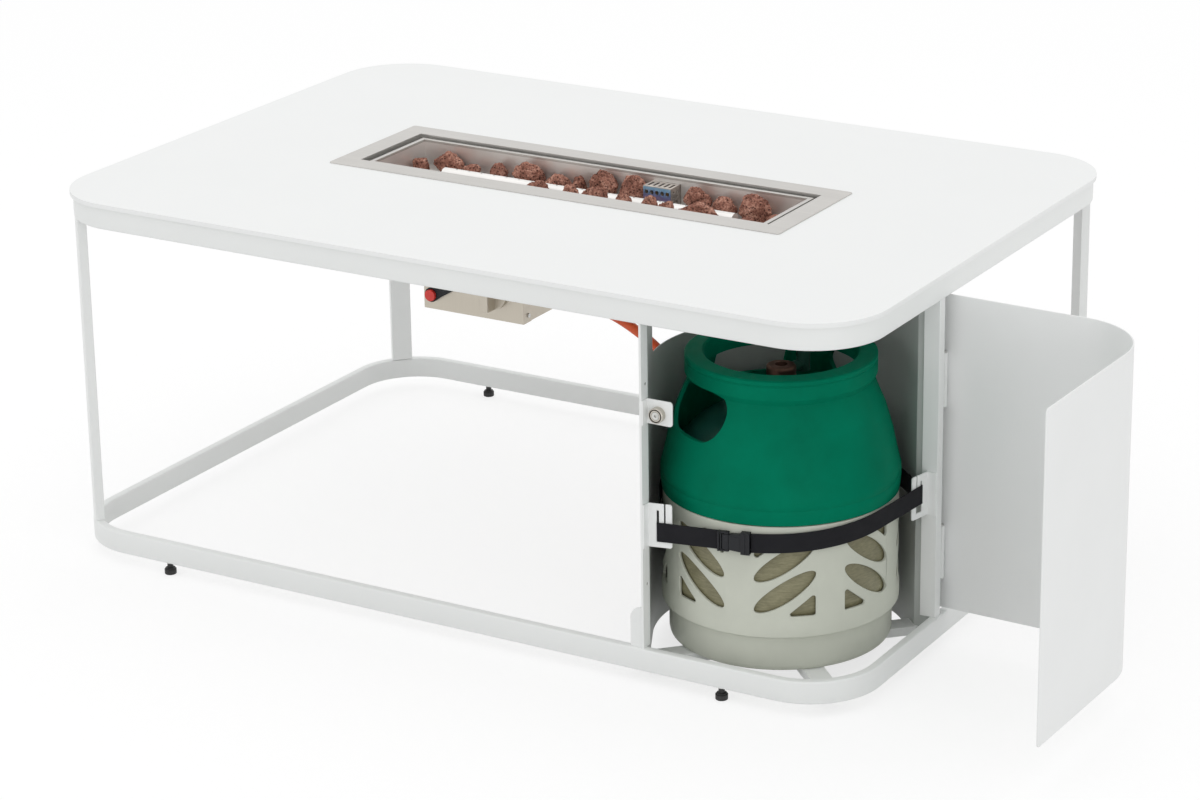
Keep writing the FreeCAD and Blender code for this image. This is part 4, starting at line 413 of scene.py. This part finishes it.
def from_bmesh(name, bm, slot, body, *stands_for, smooth=35.0):
    """As put, from a bmesh, shaded smooth over edges that turn by less than the given degrees."""
    for f in bm.faces:
        f.smooth = True
    for e in bm.edges:
        if len(e.link_faces) == 2 and e.calc_face_angle(0.0) > math.radians(smooth):
            e.smooth = False
    mesh = bpy.data.meshes.new(name)
    bm.to_mesh(mesh)
    bm.free()
    return put(name, mesh, slot, body, *stands_for)


def settle(obj):
    """Make the modifiers' result the object's own mesh."""
    bpy.context.view_layer.update()
    graph = bpy.context.evaluated_depsgraph_get()
    mesh = bpy.data.meshes.new_from_object(obj.evaluated_get(graph), depsgraph=graph)
    obj.modifiers.clear()
    obj.data = mesh
    return obj


def rounded_copy(node, width, segments=2, angle=32.0, clamp=True):
    """The CAD piece with its sharp edges broken, in place of the node."""
    bm = bmesh.new()
    bm.from_mesh(nodes[node].data)
    bmesh.ops.remove_doubles(bm, verts=bm.verts, dist=2e-6)
    bmesh.ops.dissolve_limit(bm, angle_limit=math.radians(0.5), verts=bm.verts, edges=bm.edges)
    obj = from_bmesh(node + "_piece", bm, slot_of[node], body_of[node], node, smooth=30.0)
    bevel = obj.modifiers.new("edge", "BEVEL")
    bevel.width = width
    bevel.segments = segments
    bevel.limit_method = "ANGLE"
    bevel.angle_limit = math.radians(angle)
    bevel.harden_normals = True
    bevel.use_clamp_overlap = clamp
    return settle(obj)


def revolve(profile, steps):
    """Profile of (radius, height) turned about the z axis."""
    bm = bmesh.new()
    rings = []
    for i in range(steps):
        a = 2 * math.pi * i / steps
        rings.append([bm.verts.new((r * math.cos(a), r * math.sin(a), z)) for r, z in profile])
    for i in range(steps):
        a, b = rings[i], rings[(i + 1) % steps]
        for j in range(len(profile) - 1):
            bm.faces.new((a[j], b[j], b[j + 1], a[j + 1]))
    return bm


def rounded_rectangle(half_x, half_y, radius, steps):
    """Points and outward normals of a rounded rectangle about the origin."""
    rows = []
    for sx, sy, start in ((1, 1, 0), (-1, 1, 90), (-1, -1, 180), (1, -1, 270)):
        middle = Vector((sx * (half_x - radius), sy * (half_y - radius), 0))
        for k in range(steps + 1):
            a = math.radians(start + 90 * k / steps)
            n = Vector((math.cos(a), math.sin(a), 0))
            rows.append((middle + n * radius, n))
    return rows


def sweep_ring(bm, path, section, z):
    """Sweep a section of (outwards, up) points round a closed path at height z."""
    rings = []
    for p, n in path:
        rings.append([bm.verts.new(p + n * u + Vector((0, 0, z + v))) for u, v in section])
    for i in range(len(rings)):
        a, b = rings[i], rings[(i + 1) % len(rings)]
        for j in range(len(section)):
            k = (j + 1) % len(section)
            bm.faces.new((a[j], b[j], b[k], a[k]))


# Frame rings, and pieces with their sharp edges broken.

RING_HALF = (0.590, 0.398)           # to the middle of the tube
RING_RADIUS = 0.092
TUBE_HALF = (0.006, 0.015)
TUBE_ROUNDING = 0.0022
RING_HEIGHTS = (0.489, 0.031)


def frame_rings():
    bm = bmesh.new()
    path = rounded_rectangle(*RING_HALF, RING_RADIUS, 16)
    section = [(p.x, p.y) for p, _ in rounded_rectangle(*TUBE_HALF, TUBE_ROUNDING, 4)]
    for z in RING_HEIGHTS:
        sweep_ring(bm, path, section, z)
    bmesh.ops.recalc_face_normals(bm, faces=bm.faces)
    from_bmesh("frame_rings", bm, "frame", "table", "upper_long_rails", "lower_long_rails",
               "short_rails", "corner_bends", smooth=50.0)


frame_rings()

EDGES = (("table_top", 0.0016), ("legs", 0.0015), ("latch_post", 0.0005), ("hinge_post", 0.0005),
         ("post_gusset", 0.0005), ("door_panel", 0.0006), ("latch_tab", 0.0005), ("bracket_left", 0.0005),
         ("bracket_right", 0.0005), ("bottle_bar_long", 0.0008), ("bottle_bar_short", 0.0008),
         ("control_box", 0.0005), ("box_front", 0.0005), ("inner_panel", 0.0004),
         ("burner_casing", 0.0004), ("burner_tray", 0.0004), ("pilot_hood", 0.0003),
         ("regulator_lever", 0.0008), ("valve_body", 0.001), ("strap_tail", 0.0004),
         ("strap_front", 0.0004), ("strap_back", 0.0004), ("control_knob", 0.0006),
         ("igniter_housing", 0.0006))
for node, width in EDGES:
    rounded_copy(node, width)
rounded_copy("bottle_jacket", 0.0011, segments=3, angle=40.0, clamp=False)
rounded_copy("bottle_shroud", 0.0014, segments=3, angle=34.0)


# Latch magnet and strap buckle.

def turned(name, profile, place, axis, slot, body, *stands_for):
    """Closed profile of (radius, height) in millimetres, turned about an axis through a place."""
    bm = revolve([(r / 1000, h / 1000) for r, h in profile + profile[:1]], 64)
    bmesh.ops.remove_doubles(bm, verts=bm.verts, dist=1e-6)
    bmesh.ops.recalc_face_normals(bm, faces=bm.faces)
    turn = Vector(axis).to_track_quat("Z", "Y").to_matrix().to_4x4()
    bmesh.ops.transform(bm, matrix=Matrix.Translation(place) @ turn, verts=bm.verts)
    return from_bmesh(name, bm, slot, body, *stands_for, smooth=30.0)


turned("latch_magnet_piece", [(2.6, 0), (10, 0), (10, 7.4), (9.5, 8), (8.6, 8), (8.5, 5.5), (7.2, 5.5),
                              (7.1, 7.9), (6.9, 8), (5.4, 8), (2.6, 5.2)],
       MAGNET, (0, -1, 0), "magnet", "table", "latch_magnet")

# The buckle lies on the strap, whose middle plane rises a little across the bay.
BUCKLE_MID = Vector((427.666, -372.340))
BUCKLE_ALONG = Vector((0.98724, 0.15923))
BUCKLE_OUT = Vector((0.15923, -0.98724))
STRAP_HEIGHT = 227.3892
STRAP_RISE = Vector((0.0017741, 0.069638))


def buckle_point(s, n, h):
    """World point from millimetres along the strap, outwards and up."""
    p = BUCKLE_MID + BUCKLE_ALONG * s + BUCKLE_OUT * n
    z = STRAP_HEIGHT + STRAP_RISE.x * p.x + STRAP_RISE.y * p.y + h
    return Vector((p.x, p.y, z)) / 1000


def buckle_block(bm, outline, n0, n1):
    """Plate with a four-sided outline of (along, up), between two depths."""
    low = [bm.verts.new(buckle_point(s, n0, h)) for s, h in outline]
    high = [bm.verts.new(buckle_point(s, n1, h)) for s, h in outline]
    bm.faces.new(low[::-1])
    bm.faces.new(high)
    for i in range(len(outline)):
        j = (i + 1) % len(outline)
        bm.faces.new((low[i], low[j], high[j], high[i]))


def plate(s0, s1, h0, h1):
    return [(s0, h0), (s1, h0), (s1, h1), (s0, h1)]


def buckle_piece(name, blocks, node):
    bm = bmesh.new()
    for outline, n0, n1 in blocks:
        buckle_block(bm, outline, n0, n1)
    bmesh.ops.recalc_face_normals(bm, faces=bm.faces)
    obj = from_bmesh(name, bm, "black_plastic", "table", node)
    bevel = obj.modifiers.new("edge", "BEVEL")
    bevel.width = 0.0009
    bevel.segments = 2
    bevel.harden_normals = True
    settle(obj)


buckle_piece("buckle_socket_piece", [
    (plate(9, 21, -14.5, 14.5), -1.5, 5.2),
    (plate(12.5, 15, -13, 13), -1.0, 6.0),
    (plate(18.5, 21, -13.5, 13.5), -1.0, 6.0),
    ([(-6, -10), (9.5, -11.5), (9.5, 11.5), (-6, 10)], -1.2, 5.4),
    ([(-6, -9), (8, -7.5), (8, 7.5), (-6, 9)], 5.0, 5.9)], "buckle_socket")
buckle_piece("buckle_plug_piece", [
    (plate(-21, -18.5, -13, 13), -1.2, 6.0),
    (plate(-21, -6.3, 10.5, 13), -1.0, 4.6),
    (plate(-21, -6.3, -13, -10.5), -1.0, 4.6),
    (plate(-15, -6.3, -9.8, 9.8), -1.3, 5.2),
    (plate(-17.6, -15.6, -11, 11), 1.5, 5.8),
    (plate(-7, 7, -6, 6), 1.0, 3.0),
    ([(-12, 9), (-6.3, 10), (-6.3, 13), (-12, 13)], -0.6, 4.4),
    ([(-12, -9), (-12, -13), (-6.3, -13), (-6.3, -10)], -0.6, 4.4)], "buckle_plug")


# Lava rocks: middle x, y and the three radii in millimetres.

ROCKS = [(-287, 30, 13, 13, 14), (-250, 44, 23, 17, 19), (-211, 43, 13, 14, 13),
         (-170, 46, 12, 13, 16), (-118, 44, 24, 17, 20), (-73, 42, 20, 16, 15),
         (-41, 45, 10, 11, 16), (-2, 45, 20, 16, 22.5), (45, 45, 20, 16, 22.5),
         (144, 45, 20, 16, 21), (186, 44, 18, 16, 17), (234, 42, 26, 19, 22),
         (277, 18, 14, 14, 15), (-262, -38, 14, 16, 16), (-220, -38, 18, 16, 15),
         (-180, -36, 14, 14, 14), (-130, -38, 20, 17, 16), (-63, -27, 18, 15, 20.5),
         (-13, -27, 15, 15, 21), (29, -27, 25, 15, 22.5), (70, -27, 13, 15, 21),
         (111, -27, 14, 15, 22.5), (136, -27, 11, 15, 20.5), (183, -27, 36, 15, 22.5),
         (256, -27, 18, 17, 18)]
TRAY_FLOOR = 465.2
ROCK_SINK = 1.0
ROCK_CUTS = 11


def lava_rocks():
    """Broken stones: a ball cut by flat planes, made lumpy and pitted, then brought to its radii."""
    bm = bmesh.new()
    rng = random.Random(11)
    for k, (x, y, rx, ry, rz) in enumerate(ROCKS):
        cuts = []
        for _ in range(ROCK_CUTS):
            n = Vector((rng.uniform(-1, 1), rng.uniform(-1, 1), rng.uniform(-1, 1))).normalized()
            cuts.append((n, rng.uniform(0.74, 0.98)))
        made = bmesh.ops.create_icosphere(bm, subdivisions=5, radius=1.0)["verts"]
        seed = Vector((k * 7.3, k * 3.1, k * 1.7))
        for v in made:
            d = v.co.normalized()
            flat = min([1.04] + [h / d.dot(n) for n, h in cuts if d.dot(n) > 0.3])
            big = noise.noise(d * 1.4 + seed)
            mid = noise.noise(d * 3.6 + seed)
            fine = noise.noise(d * 9.0 + seed)
            pit = max(0.0, noise.noise(d * 17.0 + seed))
            v.co = d * (flat + 0.10 * big + 0.10 * mid + 0.06 * fine - 0.10 * pit)
        low = [min(v.co[i] for v in made) for i in range(3)]
        high = [max(v.co[i] for v in made) for i in range(3)]
        middle = (x, y, TRAY_FLOOR + rz - ROCK_SINK)
        for v in made:
            part = [2 * (v.co[i] - low[i]) / (high[i] - low[i]) - 1 for i in range(3)]
            place = [middle[i] + part[i] * (rx, ry, rz)[i] for i in range(3)]
            place[2] = max(place[2], TRAY_FLOOR + 0.1)
            v.co = Vector(place) / 1000
    from_bmesh("lava_rocks_piece", bm, "rock", "table", "lava_rocks", smooth=75.0)


lava_rocks()


# Hose, through these points in millimetres.

HOSE = [(8, -104, 372), (66, -162, 390), (140, -182, 401), (230, -162, 335), (226, -140, 255),
        (236, -92, 188), (244, 0, 168), (250, 72, 228), (262, 66, 322), (284, 2, 392),
        (330, -76, 424), (392, -146, 420)]
HOSE_WIDE = 0.013


def gas_hose():
    data = bpy.data.curves.new("gas_hose_piece", "CURVE")
    data.dimensions = "3D"
    spline = data.splines.new("NURBS")
    spline.points.add(len(HOSE) - 1)
    for point, (x, y, z) in zip(spline.points, HOSE):
        point.co = (x / 1000, y / 1000, z / 1000, 1.0)
    spline.order_u = 3
    spline.use_endpoint_u = True
    spline.resolution_u = 12
    data.bevel_depth = HOSE_WIDE / 2
    data.bevel_resolution = 6
    data.use_fill_caps = True
    obj = bpy.data.objects.new("gas_hose_piece", data)
    bpy.context.scene.collection.objects.link(obj)
    data.materials.append(materials["hose"])
    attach(obj, "table")
    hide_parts("gas_hose")


gas_hose()


# Light, floor and background.

def add_area(name, place, aim, size, power):
    data = bpy.data.lights.new(name, "AREA")
    data.shape = "RECTANGLE"
    data.size, data.size_y = size
    data.energy = power
    obj = bpy.data.objects.new(name, data)
    obj.location = place
    obj.rotation_euler = (Vector(aim) - Vector(place)).to_track_quat("-Z", "Y").to_euler()
    bpy.context.scene.collection.objects.link(obj)


def seen_directly(tree):
    """1 for camera, glossy and transmission rays, 0 for the rest."""
    path = tree.nodes.new("ShaderNodeLightPath")
    a = tree.nodes.new("ShaderNodeMath")
    a.operation = "MAXIMUM"
    b = tree.nodes.new("ShaderNodeMath")
    b.operation = "MAXIMUM"
    tree.links.new(path.outputs["Is Camera Ray"], a.inputs[0])
    tree.links.new(path.outputs["Is Glossy Ray"], a.inputs[1])
    tree.links.new(a.outputs[0], b.inputs[0])
    tree.links.new(path.outputs["Is Transmission Ray"], b.inputs[1])
    return b.outputs[0]


WORLD_LIGHT = 0.85        # soft light from all sides
FLOOR_LIFT = 0.72         # the floor's own light for direct looks, so that it is white out of the shadow
FLOOR_SHADE = 1.03        # how bright the floor is out of the shadow, for direct looks
FLOOR_BOUNCE = 0.80       # how pale the floor is for the light that it throws back


def add_world():
    """Soft light on the object, and plain white behind it."""
    world = bpy.data.worlds.new("studio")
    bpy.context.scene.world = world
    world.use_nodes = True
    tree = world.node_tree
    tree.nodes.clear()
    out = tree.nodes.new("ShaderNodeOutputWorld")
    mix = tree.nodes.new("ShaderNodeMixShader")
    soft = tree.nodes.new("ShaderNodeBackground")
    white = tree.nodes.new("ShaderNodeBackground")
    soft.inputs["Strength"].default_value = WORLD_LIGHT
    soft.inputs["Color"].default_value = (1, 1, 1, 1)
    white.inputs["Color"].default_value = (1, 1, 1, 1)
    tree.links.new(seen_directly(tree), mix.inputs["Fac"])
    tree.links.new(soft.outputs[0], mix.inputs[1])
    tree.links.new(white.outputs[0], mix.inputs[2])
    tree.links.new(mix.outputs[0], out.inputs["Surface"])


def add_floor():
    bm = bmesh.new()
    bmesh.ops.create_grid(bm, x_segments=1, y_segments=1, size=30.0)
    mesh = bpy.data.meshes.new("floor")
    bm.to_mesh(mesh)
    bm.free()
    obj = bpy.data.objects.new("floor", mesh)
    bpy.context.scene.collection.objects.link(obj)
    mat = bpy.data.materials.new("floor")
    mat.use_nodes = True
    tree = mat.node_tree
    bsdf = tree.nodes["Principled BSDF"]
    bsdf.inputs["Roughness"].default_value = 0.9
    bsdf.inputs["Specular IOR Level"].default_value = 0.0
    bsdf.inputs["Emission Color"].default_value = (1, 1, 1, 1)
    seen = seen_directly(tree)
    grey = tree.nodes.new("ShaderNodeMapRange")
    grey.inputs["To Min"].default_value = FLOOR_BOUNCE
    grey.inputs["To Max"].default_value = FLOOR_SHADE - FLOOR_LIFT
    tree.links.new(seen, grey.inputs["Value"])
    tree.links.new(grey.outputs[0], bsdf.inputs["Base Color"])
    lift = tree.nodes.new("ShaderNodeMath")
    lift.operation = "MULTIPLY"
    lift.inputs[1].default_value = FLOOR_LIFT
    tree.links.new(seen, lift.inputs[0])
    tree.links.new(lift.outputs[0], bsdf.inputs["Emission Strength"])
    mesh.materials.append(mat)


add_world()
add_floor()
add_area("overhead", (-0.4, 0.2, 3.2), (0, 0, 0.3), (3.0, 2.6), 10)
add_area("front_left", (-2.2, -3.2, 1.8), (0, 0, 0.3), (2.4, 2.0), 6)
add_area("front_right", (3.4, -2.2, 0.9), (0, 0, 0.2), (2.4, 1.4), 12)
bpy.context.scene.view_settings.view_transform = "Standard"
